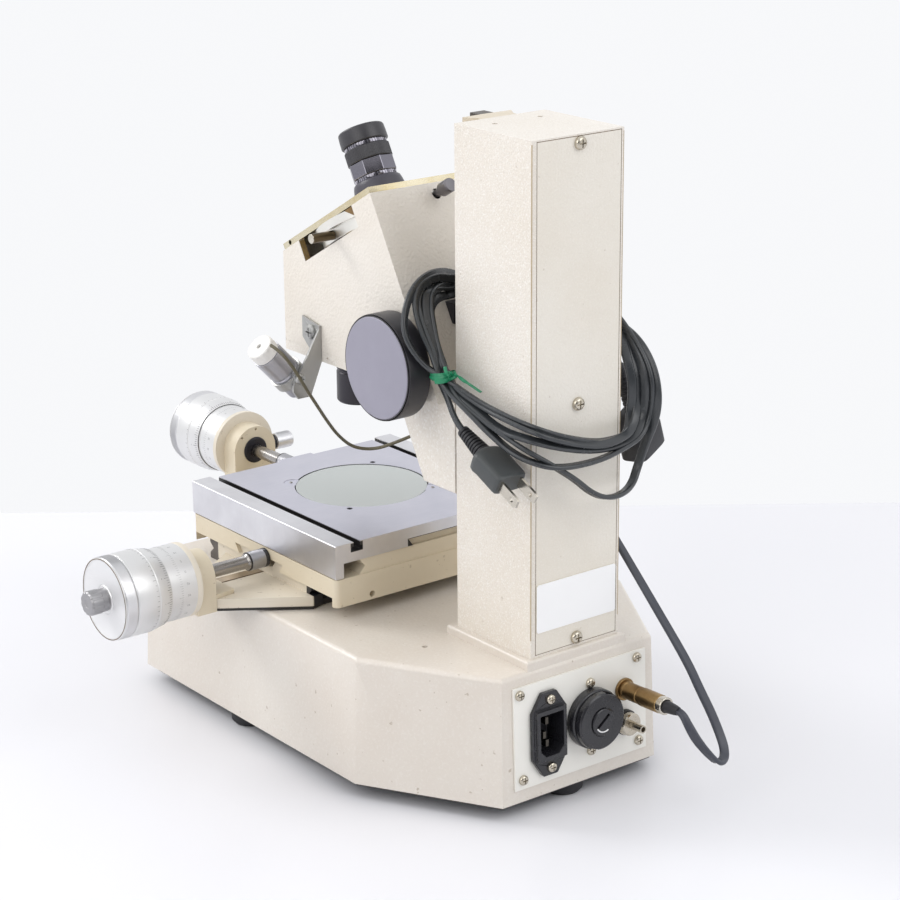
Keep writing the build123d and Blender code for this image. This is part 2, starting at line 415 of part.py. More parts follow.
hs = hs - prism_x([in0, in1, in3, in4], -HEAD_HW + W, HEAD_HW - W)
slot = Solid.make_box(120, 60.9, 12.9, plane=Plane((-60, -81.4, -16.4))).moved(HEADLOC)
slot = one(slot)
hs = hs - slot
hs = hs - cyl(head(0, EYE_S, -16.4), NORMAL, 43.9, 12.9)
hs = hs - chan
hs = hs - cyl((-60, PINION_Y, PINION_Z), (1, 0, 0), 9.05, 120)
hs = hs - Solid.make_cylinder(3.08, 30, plane=Plane(origin=head(-4, -6, -10.2), z_dir=(0, -ct, -st)))
hs = hs - cyl((-7, PINION_Y, PINION_Z), (1, 0, 0), 13.4, 14)
add("head_housing", one(hs))

plate = Solid.make_box(2 * HEAD_HW, TOP_LEN, PLATE_T, plane=Plane((-HEAD_HW, -TOP_LEN, -PLATE_T))).moved(HEADLOC)
plate = one(plate) - cyl(head(0, EYE_S, -10), NORMAL, 12.5, 20)
plate = plate - cyl((HEAD_HW - 6, head(0, 90.5, -1.6)[1], head(0, 90.5, -1.6)[2]), (1, 0, 0), 1.4, 10)
add("head_top_plate", one(plate))

# dial: upper tier proud of the slot, lower tier with the turning lever
EY = head(0, EYE_S, 0)
dial = rev([(21.05, -15.9), (40.6, -15.9), (41.0, -15.5), (41.0, -9.2), (43.2, -9.2), (43.2, -4.2), (21.05, -4.2)], EY, NORMAL)
dial = dial - cyl(head(36.8, EYE_S, -12.6), (1, 0, 0), 2.0, 10)
add("protractor_dial", one(dial))
lever = rev([(0, 36.9), (1.95, 36.9), (1.95, 41.2), (2.75, 41.2), (2.75, 55.4), (2.3, 56.0), (0, 56.0)], head(0, EYE_S, -12.6), (1, 0, 0))
add("dial_lever", lever)
hub = rev([(9.0, -24.0), (12.5, -24.0), (12.5, -17.6), (24.5, -17.6), (24.5, -16.2), (21.0, -16.2), (21.0, -PLATE_T), (12.5, -PLATE_T), (12.5, 0.0), (16.0, 0.0), (15.6, 6.0), (14.4, 9.0), (14.0, 16.0), (10.6, 16.0), (10.6, 22.0), (9.0, 22.0)], EY, NORMAL)
add("eyepiece_tube", hub)

# eyepiece
fac = rev([(10.6, 16.1), (12.8, 16.1), (13.3, 16.7), (13.3, 25.2), (12.6, 26.0), (10.6, 26.0)], EY, NORMAL)
for k in range(12):
    a = math.radians(30 * k + 8)
    pl = Plane(origin=(0, 0, 17.8), z_dir=(0, 0, 1))
    cutter = Solid.make_box(2.0, 4.4, 7.0, plane=Plane((12.45, -2.2, 17.8))).moved(Location((0, 0, 0), (0, 0, math.degrees(a))))
    fac = fac - cutter.moved(Location(Plane(origin=EY, x_dir=(1, 0, 0), z_dir=NORMAL)))
add("eyepiece_tube", one(fac))
body = rev([(7.5, -14.0), (8.95, -14.0), (8.95, 22.3), (10.3, 22.3), (10.3, 26.35), (12.9, 26.35), (13.5, 26.9), (13.5, 35.6), (12.9, 36.3), (12.0, 36.3), (12.0, 38.0), (7.5, 38.0)], EY, NORMAL)
add("eyepiece_body", one(body))
cap = rev([(7.4, 38.0), (13.9, 38.0), (14.1, 38.6), (13.7, 45.6), (13.0, 46.3), (9.0, 46.3), (7.4, 43.4)], EY, NORMAL)
add("eyepiece_body", cap)
add("eyepiece_lenses", rev([(0, 39.4), (7.35, 39.4), (7.35, 41.6), (0, 43.2)], EY, NORMAL), rev([(0, -12.0), (7.45, -11.0), (7.45, -8.0), (0, -6.4)], EY, NORMAL))

# knob on the rear slope
rk = head(0, -0.0, -10.2)
rkp = (-4.0, rk[1], rk[2])
d_rear = UPHILL
knob = rev([(0, -0.8), (3.0, -0.8), (3.0, 0.9), (2.1, 0.9), (2.1, 6.2), (3.7, 6.2), (4.1, 6.7), (4.1, 14.6), (3.7, 15.0), (0, 15.0)], rkp, d_rear)
add("dial_lock_knob", knob)

# pinion shaft, bushes, handwheels
pinion = []
rp, ra, rf = GEAR_M * PINION_N / 2, GEAR_M * (PINION_N / 2 + 0.95), GEAR_M * (PINION_N / 2 - 1.2)
rb = rp * math.cos(math.radians(20))


def inv(r):
    if r <= rb:
        return 0.0
    a = math.acos(rb / r)
    return math.tan(a) - a


half_ang = math.pi / (2 * PINION_N) - 0.13 / rp
for k in range(PINION_N):
    c = math.pi / 2 + 2 * math.pi * k / PINION_N
    flank = [(r, half_ang + inv(rp) - inv(r)) for r in (rf, max(rb, rf + 0.3), rp - 0.4, rp, rp + 0.45, ra)]
    for r, a in flank:
        pinion.append((r, c - a))
    for r, a in reversed(flank):
        pinion.append((r, c + a))
pts = [(PINION_Y + r * math.sin(t), PINION_Z + r * math.cos(t)) for r, t in pinion]
gear = prism_x(pts, -6.0, 6.0)
shaft = gear + cyl((-60.9, PINION_Y, PINION_Z), (1, 0, 0), 5.0, 121.8)
add("pinion_shaft", one(shaft))
for s in (1, -1):
    b = rev([(5.05, 8.0), (9.0, 8.0), (9.0, HEAD_HW), (11.0, HEAD_HW + 0.1), (11.0, 45.1), (5.05, 45.1)], (0, PINION_Y, PINION_Z), (s, 0, 0))
    add("pinion_bushes", b)
    w = rev([(5.0, 45.5), (29.2, 45.5), (30.0, 46.3), (30.0, 60.2), (29.2, 61.0), (5.0, 61.0)], (0, PINION_Y, PINION_Z), (s, 0, 0))
    add("focus_handwheels", w)
pcover = prism_x([(-88.2, 257.0), (-88.2, 268.5), (rear_y(268.5) + 0.2, 268.5), (rear_y(257.0) + 0.2, 257.0)], -14.0, 14.0)
add("pinion_cover", pcover)

# optics inside the head
pm = Plane(origin=(0, -199.7, 268.3), x_dir=(1, 0, 0), z_dir=(0, 0.70711, 0.70711))
add("head_optics", Solid.make_box(26, 26, 2, plane=Plane((-13, -13, 0.2))).moved(Location(pm)))
add("head_optics", prism_x([(-156.5, 253.5), (-133.5, 253.5), (-133.5, 270.0), (-150.0, 270.0), (-156.5, 263.5)], -11, 11))
obj = rev([(8.95, 184.5), (12.2, 184.5), (13.2, 185.7), (13.2, 203.0), (12.6, 203.6), (12.6, 204.6), (13.2, 205.2), (13.2, 219.7), (12.0, 219.7), (12.0, 226.0), (8.95, 226.0)], (0, OPT_Y, 0), (0, 0, 1))
add("objective_barrel", obj)
add("head_optics", rev([(0, 186.5), (8.9, 187.7), (8.9, 191.3), (0, 192.5)], (0, OPT_Y, 0), (0, 0, 1)))

# ---- surface lamp -------------------------------------------------------------------------------
BR = (-187.4, 236.6)                       # bracket screw on the head's side
tab = prism_x([(-197.0, 244.5), (-180.0, 241.5), (-180.0, 238.0), (-184.5, 219.5), (-190.0, 226.0), (-197.0, 232.0)], HEAD_HW + 0.3, HEAD_HW + 1.8)
tab = tab - cyl((HEAD_HW - 1, BR[0], BR[1]), (1, 0, 0), 2.0, 6)
web = prism_y([(HEAD_HW + 0.3, 241.8), (HEAD_HW + 0.3, 219.8), (48.5, 200.4), (57.5, 200.4), (60.5, 205.0), (60.5, 208.0)], -181.5, -180.0)
LA = Vector(75.8, -192.0, 232.9)           # centre of the lamp's rear end
LD = Vector(-0.6895, 0, -0.7243)           # beam direction


def lp(h, off=0.0):
    v = LA + LD * h
    return (v.X, v.Y + off, v.Z)


ring = rev([(9.1, 25.2), (10.3, 25.2), (10.3, 31.4), (9.1, 31.4)], (LA.X, LA.Y, LA.Z), (LD.X, LD.Y, LD.Z))
lug_c = lp(28.3)
lug = box(lug_c[0] - 3.1, lug_c[0] + 3.1, -183.4, -180.0, lug_c[2] - 3.1, lug_c[2] + 3.1) - Solid.make_cylinder(9.1, 40, plane=Plane(origin=lp(10), z_dir=(LD.X, 0, LD.Z)))
bracket = tab + web + one(lug) + ring
bracket = bracket - cyl((lug_c[0], -184.0, lug_c[2]), (0, 1, 0), 1.2, 12)
add("lamp_bracket", one(bracket))
add("lamp_bracket", pan_screw((HEAD_HW + 1.8, BR[0], BR[1]), (1, 0, 0), 4.4, 2.6, 2.0, 5.6))
for name in ("head_housing",):
    N[name] = [one(N[name][0] - cyl((HEAD_HW - 5.5, BR[0], BR[1]), (1, 0, 0), 2.05, 12))]
add("lamp_bracket", pan_screw((lug_c[0], -179.95, lug_c[2]), (0, 1, 0), 3.2, 2.4, 1.2, 2.6))
cap_l = rev([(0, 0.0), (7.8, 0.0), (8.4, 0.6), (8.4, 7.4), (6.0, 7.4), (6.0, 3.0), (0, 3.0)], (LA.X, LA.Y, LA.Z), (LD.X, LD.Y, LD.Z))
cap_l = cap_l - Solid.make_cylinder(1.5, 6, plane=Plane(origin=(LA.X + LD.X * -1, LA.Y, LA.Z + LD.Z * -1), z_dir=(LD.X, 0, LD.Z)))
add("lamp_rear_cap", one(cap_l))
hsg = rev([(6.6, 7.4), (9.0, 7.4), (9.0, 22.8), (8.6, 23.2), (8.6, 24.2), (9.0, 24.6), (9.0, 31.6), (8.4, 32.0), (8.4, 40.2), (6.6, 40.2)], (LA.X, LA.Y, LA.Z), (LD.X, LD.Y, LD.Z))
add("lamp_barrel", hsg)
add("lamp_glass", rev([(0, 8.0), (4.0, 8.0), (4.0, 16.0), (5.0, 18.0), (5.2, 21.0), (3.6, 24.4), (0, 25.4)], (LA.X, LA.Y, LA.Z), (LD.X, LD.Y, LD.Z)))
add("lamp_glass", rev([(0, 34.6), (6.5, 35.6), (6.5, 38.2), (0, 39.4)], (LA.X, LA.Y, LA.Z), (LD.X, LD.Y, LD.Z)))

# ---- cords ------------------------------------------------------------------------------------------


def cord(name, pts, r, cross=None):
    """A round tube along straight runs joined by the largest arcs that the runs allow."""
    v = [Vector(*p) for p in pts]
    radii, length = [], 0.0
    for i in range(1, len(v) - 1):
        a, b = v[i] - v[i - 1], v[i + 1] - v[i]
        turn = math.radians(a.get_angle(b))
        radii.append(0.45 * min(a.length, b.length) / math.tan(turn / 2))
    path = FilletPolyline(*v, radius=radii) if radii else Line(*v)
    w = path.wire() if hasattr(path, "wire") else Wire([path])
    prof = Face(Wire.make_circle(r, Plane(origin=v[0], z_dir=(v[1] - v[0]))))
    s = Solid.sweep(prof, w)
    print(name, "length", round(w.length, 1), "radii", [round(x, 1) for x in radii], "turns", [round((v[i] - v[i - 1]).get_angle(v[i + 1] - v[i])) for i in range(1, len(v) - 1)], "runs", [round((v[i + 1] - v[i]).length, 1) for i in range(len(v) - 1)], "volume ratio", round(s.volume / (math.pi * r * r * w.length), 4))
    add(name, s)
    return s


exit_p = Vector(-LX * -1, 0, 0)
cp = (Vector(*pan(LX, LZ, 36.6)))
loc = PANEL * Location((cp.X, cp.Y, cp.Z))
E0 = loc.position
NP = (PANEL * Location((0, 0, 1))).position - PANEL.position
# short moulded relief, then the flat flex to the joint sleeve on the head's far side
relief_end = E0 + NP * 9.0
rl = Solid.make_cone(3.6, 2.3, 9.0, plane=Plane(origin=(E0.X, E0.Y, E0.Z), z_dir=(NP.X, NP.Y, NP.Z)))
add("lamp_connector", rl)
LEAD_R = 2.3
lead = [(relief_end.X, relief_end.Y, relief_end.Z), tuple(relief_end + NP * 4.0), (-32.5, 58.2, 52.3), (-34.4, 62.8, 44.8), (-38.5, 67.5, 37.3), (-44.5, 70.0, 30.3), (-52.0, 67.0, 29.8), (-56.2, 62.5, 33.5), (-57.5, 57.5, 39.5), (-56.5, 51.0, 51.0), (-54.0, 44.0, 63.3), (-51.0, 37.0, 78.0), (-46.0, 17.0, 104.0), (-43.5, -9.0, 131.5), (-43.0, -38.0, 158.0), (-41.5, -60.0, 179.0), (-38.5, -74.0, 189.5), (-36.6, -84.7, 192.3)]
lead.append((-36.2, -95.7, 193.0))
cord("lamp_lead_flex", lead, LEAD_R)
SL = (-36.0, -96.0, 193.1)
sleeve_d = (0, -1, 0)
add("lead_clip", rev([(0, 0), (3.0, 0), (3.6, 1.2), (3.6, 10.5), (1.8, 12.0), (0, 12.0)], SL, sleeve_d))
clipb = tube((SL[0], SL[1] - 4.0, SL[2]), sleeve_d, 3.65, 4.4, 5.0) + box(SL[0] + 3.3, -31.6, SL[1] - 9.0, SL[1] - 4.0, SL[2] - 1.2, SL[2] + 14.0)
clipb = clipb - cyl((SL[0], SL[1], SL[2]), sleeve_d, 3.65, 20)
add("lead_clip", one(clipb))
thin = [(SL[0], SL[1] - 12.0, SL[2]), (-36.0, -114.0, 193.1), (-31.8, -126.0, 188.5), (-21.5, -140.0, 180.5), (-9.5, -152.5, 173.5), (-0.5, -163.5, 166.5), (7.0, -175.0, 160.6), (17.5, -182.5, 162.0), (29.5, -181.0, 172.5), (40.0, -177.0, 184.8), (50.0, -172.5, 197.3), (58.6, -169.5, 208.6), (65.6, -167.8, 219.2), (71.5, -168.5, 228.5), (74.5, -173.5, 234.2), (74.8, -180.9, 235.6)]
cord("lamp_lead_thin", thin, 1.0)
N["lamp_rear_cap"] = [one(N["lamp_rear_cap"][0])]

# coiled mains lead: one closed solid for the bundle, short tails to both connectors
coil = [(43.2, -33.0, 228.5), (42.6, -14.0, 222.0), (42.4, 4.0, 217.0), (35.0, 15.5, 213.0), (14.0, 16.0, 209.0), (-12.0, 15.5, 205.5), (-34.0, 15.0, 206.5), (-44.5, 8.0, 216.0), (-45.0, 4.0, 234.0), (-45.0, -10.0, 252.0), (-45.0, -34.0, 267.0), (-43.6, -62.0, 278.5), (-33.0, -85.0, 284.5), (-11.0, -96.3, 287.5), (11.0, -96.3, 286.5), (26.0, -88.5, 282.5), (38.0, -79.0, 279.0), (44.0, -72.0, 269.5), (44.8, -64.5, 257.5), (44.8, -59.5, 245.5), (44.6, -57.0, 233.5), (45.0, -51.5, 223.0), (45.8, -44.0, 215.8)]
cord("mains_lead_coil", coil, 7.6)
PD = Vector(0, 0.9, -0.436).normalized()
P0 = Vector(46.0, -40.1, 213.2)
relief_p = rev([(0, 0), (3.4, 0), (3.7, 3.0), (5.2, 18.0), (5.2, 22.0), (0, 22.0)], tuple(P0), tuple(PD))
P1 = P0 + PD * 20.0
upv = Vector(1, 0, 0).cross(PD).normalized()
pl = Plane(origin=tuple(P1), x_dir=(1, 0, 0), z_dir=tuple(PD))
plug_pts = [(-6.5, 0), (6.5, 0), (10.4, 4.0), (10.0, 25.0), (-10.0, 25.0), (-10.4, 4.0)]
w = Wire.make_polygon([pl.from_local_coords(Vector(x, -6.0, z)) for x, z in plug_pts], close=True)
body_p = Solid.extrude(Face(w), pl.y_dir * 12.0)
body_p = body_p.fillet(1.5, [e for e in body_p.edges() if abs(e.length - 12.0) < 0.01])
add("mains_plug", one(body_p + relief_p))
P2 = P1 + PD * 25.0
for off in (-6.35, 6.35):
    pb = Plane(origin=(P2.X + off, P2.Y, P2.Z), x_dir=(1, 0, 0), z_dir=tuple(PD))
    bl = Solid.make_box(1.5, 6.3, 15.5, plane=Plane((-0.75, -3.15, 0.0))).moved(Location(pb))
    add("mains_plug", one(bl))
# inlet connector hanging behind the bundle
CC = Vector(-62.0, -14.0, 186.5)
CU = Vector(0.29, 0, 0.957).normalized()
cw = Vector(-0.958, -0.287, 0)
cw = (cw - CU * cw.dot(CU)).normalized()
pc2 = Plane(origin=tuple(CC), x_dir=tuple(cw), z_dir=tuple(CU))
cb = Solid.make_box(26.0, 16.4, 28.0, plane=Plane((-13.0, -8.2, 0.0)))
cb = cb.fillet(2.0, cb.edges().filter_by(Axis.Z))
for x, y in ((-7.0, -1.0), (0.0, 1.0), (7.0, -1.0)):
    cb = cb - Solid.make_box(2.6, 5.2, 15.0, plane=Plane((x - 1.3, y - 2.6, -0.5)))
cb = one(cb).moved(Location(pc2))
RC = CC + CU * 27.0
RT = Vector(-46.5, -19.5, 238.0)
rd = (RT - RC).normalized()
cb = cb + rev([(0, 0), (5.2, 0), (3.4, (RT - RC).length), (0, (RT - RC).length)], tuple(RC), tuple(rd))
add("inlet_connector", one(cb))
# twist tie round the bundle
TP = Vector(44.7, -58.4, 239.5)
TDV = Vector(-0.2, 3.4, -12.0).normalized()
add("twist_tie", one(tube(tuple(TP), tuple(TDV), 7.7, 9.2, 4.6)))

# ---- export ---------------------------------------------------------------------------------------------
if __name__ == "__main__":
    os.makedirs("parts", exist_ok=True)
    shift = Location((-SHIFT_X, -SHIFT_Y, 0))
    lo, hi = [1e9] * 3, [-1e9] * 3
    CORD = {"lamp_lead_flex", "lamp_lead_thin", "lamp_connector", "mains_lead_coil", "mains_plug", "inlet_connector", "twist_tie"}
    for name, shapes in sorted(N.items()):
        solids = [s for sh in shapes for s in sh.solids()]
        if name not in CORD:
            for s in solids:
                b = s.bounding_box()
                for i, (p, q) in enumerate(zip(tuple(b.min), tuple(b.max))):
                    lo[i], hi[i] = min(lo[i], p), max(hi[i], q)
        out = [s.moved(shift) for s in solids]
        c = Compound(children=out) if len(out) > 1 else out[0]
        c.label = name
        export_step(c, f"parts/{name}.step")
    print("nodes", len(N), "working box", [round(v, 2) for v in lo], [round(v, 2) for v in hi], "centre", round((lo[0] + hi[0]) / 2, 3), round((lo[1] + hi[1]) / 2, 3))
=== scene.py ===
import math

import bmesh
import bpy
import numpy as np
from mathutils import Matrix, Vector


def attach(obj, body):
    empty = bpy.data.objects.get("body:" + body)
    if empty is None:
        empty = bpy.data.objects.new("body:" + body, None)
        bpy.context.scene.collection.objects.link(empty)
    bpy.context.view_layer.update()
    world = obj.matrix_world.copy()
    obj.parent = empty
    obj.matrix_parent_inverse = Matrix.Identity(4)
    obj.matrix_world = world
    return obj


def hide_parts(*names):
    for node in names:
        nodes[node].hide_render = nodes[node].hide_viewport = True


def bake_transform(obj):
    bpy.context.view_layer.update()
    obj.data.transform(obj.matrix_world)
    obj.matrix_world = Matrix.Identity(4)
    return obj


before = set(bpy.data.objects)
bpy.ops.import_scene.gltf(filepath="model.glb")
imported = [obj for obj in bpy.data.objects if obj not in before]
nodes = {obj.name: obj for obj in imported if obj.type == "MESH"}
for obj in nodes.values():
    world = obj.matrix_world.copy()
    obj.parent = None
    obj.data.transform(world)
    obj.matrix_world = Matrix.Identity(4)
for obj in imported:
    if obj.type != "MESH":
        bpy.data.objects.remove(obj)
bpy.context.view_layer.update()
SC = bpy.context.scene

# millimetres in the working frame (x 0 on the column's centre plane, y 0 on its rear face) to metres in the row frame
SX, SY = 48.1, -185.102


def W(x, y, z):
    return Vector(((x - SX) / 1000, (y - SY) / 1000, z / 1000))


def D(x, y, z):
    return Vector((x, y, z)).normalized()


TILT = math.radians(29.2)
CT, ST = math.cos(TILT), math.sin(TILT)
APEX = (-131.7, 330.9)
NRM = D(0, -ST, CT)
UPH = D(0, CT, ST)


def head(x, s, h):
    return (x, APEX[0] - CT * s - ST * h, APEX[1] - ST * s + CT * h)


# ---------------------------------------------------------------- materials
def srgb(r, g, b):
    def f(c):
        c /= 255
        return c / 12.92 if c <= 0.04045 else ((c + 0.055) / 1.055) ** 2.4
    return (f(r), f(g), f(b), 1.0)


class Mat:
    """A small helper round one node material."""

    def __init__(self, name, color, rough=0.5, metal=0.0, spec=0.5):
        self.m = bpy.data.materials.new(name)
        self.m.use_nodes = True
        self.nt = self.m.node_tree
        self.n = self.nt.nodes
        self.b = self.n["Principled BSDF"]
        self.b.inputs["Roughness"].default_value = rough
        self.b.inputs["Metallic"].default_value = metal
        self.b.inputs["Specular IOR Level"].default_value = spec
        self.b.inputs["Base Color"].default_value = color
        self.m.diffuse_color = color
        self.col = None
        self.color = color
        self.h = None
        self.hd = 0.0
        tc = self.n.new("ShaderNodeTexCoord")
        self.obj = tc.outputs["Object"]
        self.nm = None

    def L(self, a, b):
        self.nt.links.new(a, b)

    def noise(self, scale, detail=3, rough=0.55, vec=None, dist=0.0):
        t = self.n.new("ShaderNodeTexNoise")
        t.inputs["Scale"].default_value = scale
        t.inputs["Detail"].default_value = detail
        t.inputs["Roughness"].default_value = rough
        t.inputs["Distortion"].default_value = dist
        self.L(vec or self.obj, t.inputs["Vector"])
        return t.outputs["Fac"]

    def voronoi(self, scale, smooth=0.6, vec=None, feature="SMOOTH_F1"):
        t = self.n.new("ShaderNodeTexVoronoi")
        t.feature = feature
        t.inputs["Scale"].default_value = scale
        if feature == "SMOOTH_F1":
            t.inputs["Smoothness"].default_value = smooth
        self.L(vec or self.obj, t.inputs["Vector"])
        return t.outputs["Distance"]

    def stretch(self, sx, sy, sz, rot=(0, 0, 0)):
        t = self.n.new("ShaderNodeMapping")
        t.inputs["Scale"].default_value = (sx, sy, sz)
        t.inputs["Rotation"].default_value = rot
        self.L(self.obj, t.inputs["Vector"])
        return t.outputs["Vector"]

    def ramp(self, fac, stops):
        t = self.n.new("ShaderNodeValToRGB")
        e = t.color_ramp.elements
        while len(e) < len(stops):
            e.new(0.5)
        for k, (p, c) in enumerate(stops):
            e[k].position = p
            e[k].color = c if len(c) == 4 else (*c, 1)
        self.L(fac, t.inputs["Fac"])
        return t.outputs["Color"]

    def math(self, op, a, b=0.0, clamp=False):
        t = self.n.new("ShaderNodeMath")
        t.operation = op
        t.use_clamp = clamp
        for k, v in enumerate((a, b)):
            if isinstance(v, (int, float)):
                t.inputs[k].default_value = v
            else:
                self.L(v, t.inputs[k])
        return t.outputs[0]

    def mix(self, fac, a, b, mode="MIX"):
        t = self.n.new("ShaderNodeMix")
        t.data_type = "RGBA"
        t.blend_type = mode
        if isinstance(fac, (int, float)):
            t.inputs[0].default_value = fac
        else:
            self.L(fac, t.inputs[0])
        for k, v in ((6, a), (7, b)):
            if isinstance(v, tuple):
                t.inputs[k].default_value = v
            else:
                self.L(v, t.inputs[k])
        return t.outputs[2]

    def base(self, c):
        self.L(c, self.b.inputs["Base Color"])

    def roughness(self, fac, lo, hi):
        t = self.n.new("ShaderNodeMapRange")
        t.inputs["To Min"].default_value = lo
        t.inputs["To Max"].default_value = hi
        self.L(fac, t.inputs["Value"])
        self.L(t.outputs["Result"], self.b.inputs["Roughness"])

    def bump(self, h, dist, strength=1.0):
        t = self.n.new("ShaderNodeBump")
        t.inputs["Strength"].default_value = strength
        t.inputs["Distance"].default_value = dist
        self.L(h, t.inputs["Height"])
        if self.nm is not None:
            self.L(self.nm, t.inputs["Normal"])
        self.nm = t.outputs["Normal"]
        self.L(self.nm, self.b.inputs["Normal"])

    def pointy(self, lo=0.5, hi=0.6):
        g = self.n.new("ShaderNodeNewGeometry")
        return self.ramp(g.outputs["Pointiness"], [(lo, (0, 0, 0)), (hi, (1, 1, 1))])


def hammer(name, col, dark, scale=820, depth=0.0004, dirt=0.25, painted_glint_and_shade=0.5):
    """Stipple-finish enamel: soft cells, a faint mottle, small specks of dirt, painted white glints on the stipple and
    painted shade in its hollows.
    """
    m = Mat(name, col, 0.34, 0.0, 0.6)
    cells = m.voronoi(scale, 0.8)
    fine = m.noise(scale * 1.8, 3, 0.6)
    h = m.math("ADD", m.math("MULTIPLY", cells, 0.9), m.math("MULTIPLY", fine, 0.55))
    mott = m.noise(9, 4, 0.6)
    c = m.mix(m.ramp(mott, [(0.35, (0, 0, 0)), (0.7, (1, 1, 1))]), col, dark)
    speck = m.ramp(m.noise(260, 2, 0.5), [(0.72, (0, 0, 0)), (0.76, (1, 1, 1))])
    spk = m.math("MULTIPLY", speck, dirt)
    c = m.mix(spk, c, srgb(150, 128, 100))
    # painted highlight: near-white glints scattered over the stipple
    hi = m.ramp(m.noise(scale * 1.35, 2, 0.55), [(0.53, (0, 0, 0)), (0.68, (1, 1, 1))])
    c = m.mix(m.math("MULTIPLY", hi, painted_glint_and_shade), c, srgb(250, 249, 246))
    # painted shade: a darker tone in the stipple's hollows
    lo = m.ramp(m.noise(scale * 1.1, 2, 0.5), [(0.34, (1, 1, 1)), (0.46, (0, 0, 0))])
    c = m.mix(m.math("MULTIPLY", lo, painted_glint_and_shade * 0.35), c, srgb(196, 184, 168))
    m.base(c)
    m.roughness(fine, 0.26, 0.46)
    m.bump(h, depth, 0.8)
    m.b.inputs["Coat Weight"].default_value = 0.25
    m.b.inputs["Coat Roughness"].default_value = 0.18
    return m.m


def smooth_paint(name, col, dark, rough=0.42):
    m = Mat(name, col, rough)
    mott = m.noise(14, 5, 0.6)
    c = m.mix(m.ramp(mott, [(0.3, (0, 0, 0)), (0.75, (1, 1, 1))]), col, dark)
    speck = m.ramp(m.noise(330, 2, 0.5), [(0.70, (0, 0, 0)), (0.74, (1, 1, 1))])
    c = m.mix(m.math("MULTIPLY", speck, 0.3), c, srgb(120, 96, 66))
    m.base(c)
    m.roughness(m.noise(60, 3), rough - 0.1, rough + 0.1)
    m.bump(m.noise(900, 3), 0.00004, 0.5)
    return m.m


def metal(name, col, rough=0.3, lines=None, var=0.12, metal_=1.0, line_depth=0.00002, tint=None):
    """Machined metal: lines is the stretch of the tool marks along x, y, z."""
    m = Mat(name, col, rough, metal_)
    mott = m.noise(35, 4, 0.6)
    d = tuple(c * (1 - var) for c in col[:3]) + (1,)
    c = m.mix(m.ramp(mott, [(0.3, (0, 0, 0)), (0.75, (1, 1, 1))]), col, tint or d)
    m.base(c)
    if lines:
        ln = m.noise(1.0, 3, 0.6, m.stretch(*lines))
        m.roughness(ln, rough - 0.07, rough + 0.12)
        m.bump(ln, line_depth, 0.7)
    else:
        m.roughness(m.noise(120, 4), rough - 0.06, rough + 0.08)
        m.bump(m.noise(700, 3), 0.00001, 0.4)
    return m.m


def plastic(name, col, rough=0.4, grain=800, depth=0.00002, spec=0.5, var=0.25):
    m = Mat(name, col, rough, 0.0, spec)
    mott = m.noise(40, 4, 0.6)
    d = tuple(min(1, c * (1 + var)) for c in col[:3]) + (1,)
    m.base(m.mix(m.ramp(mott, [(0.35, (0, 0, 0)), (0.7, (1, 1, 1))]), col, d))
    m.roughness(m.noise(90, 3), rough - 0.08, rough + 0.1)
    m.bump(m.noise(grain, 3), depth, 0.6)
    return m.m


def glass(name, col=(0.93, 0.97, 0.95, 1), rough=0.03, alpha=None):
    m = Mat(name, col, rough)
    m.b.inputs["Transmission Weight"].default_value = 1.0
    m.b.inputs["IOR"].default_value = 1.5
    m.roughness(m.noise(30, 3), rough, rough + 0.03)
    return m.m


CREAM = srgb(232, 226, 217)
CREAM_D = srgb(225, 217, 205)
M_HAM = hammer("hammer_enamel", CREAM, CREAM_D)
M_BASE = hammer("base_enamel", srgb(226, 220, 211), srgb(219, 210, 199), scale=480, depth=0.00014, painted_glint_and_shade=0.12, dirt=0.5)
M_COVER = hammer("cover_enamel", srgb(233, 228, 218), srgb(227, 220, 207), scale=700, depth=0.0002, painted_glint_and_shade=0.16)
M_ARM = hammer("arm_enamel", CREAM, CREAM_D, scale=520)
M_DARKPLATE = plastic("dark_plate", srgb(52, 50, 52), 0.5)
M_RUBBER = plastic("black_rubber", srgb(34, 34, 38), 0.62, 500, 0.00004)
M_COVER_EDGE = smooth_paint("seam_brown", srgb(120, 98, 72), srgb(96, 78, 56))
M_CREAM = smooth_paint("cream_enamel", srgb(221, 210, 187), srgb(211, 197, 171))
M_CREAM2 = smooth_paint("cream_enamel_pale", srgb(226, 218, 203), srgb(218, 208, 189))
M_STEEL = metal("bright_steel", srgb(168, 165, 162), 0.22, (30, 900, 900))
M_STEEL_R = metal("ground_steel", srgb(190, 188, 190), 0.26, (600, 600, 60))
M_NICKEL = metal("nickel", srgb(208, 202, 190), 0.2)
M_SCREW = metal("screw_nickel", srgb(206, 198, 182), 0.24, None, 0.2)
M_TABLE_TOP = metal("ground_table", srgb(206, 206, 218), 0.36, (40, 700, 40), 0.06)
M_TABLE_SIDE = metal("milled_edge", srgb(212, 212, 214), 0.3, (500, 40, 700), 0.1)
M_ALU = metal("aluminium_satin", srgb(222, 222, 224), 0.34, None, 0.05)
M_ALU_X = metal("drum_satin_x", srgb(226, 226, 226), 0.36, (1500, 60, 60), 0.04, 0.85, 0.00001)
M_ALU_Y = metal("drum_satin_y", srgb(228, 228, 228), 0.38, (60, 1500, 60), 0.04, 0.85, 0.00001)
M_PASS = metal("passivated_plate", srgb(222, 216, 196), 0.2, None, 0.1, 1.0, tint=srgb(206, 188, 142))
M_BRASSY = metal("bare_brass", srgb(178, 140, 78), 0.35, None, 0.3, 1.0, tint=srgb(120, 88, 44))
M_BRASS_T = metal("tarnished_brass", srgb(176, 148, 104), 0.32, None, 0.3, 1.0, tint=srgb(106, 78, 48))
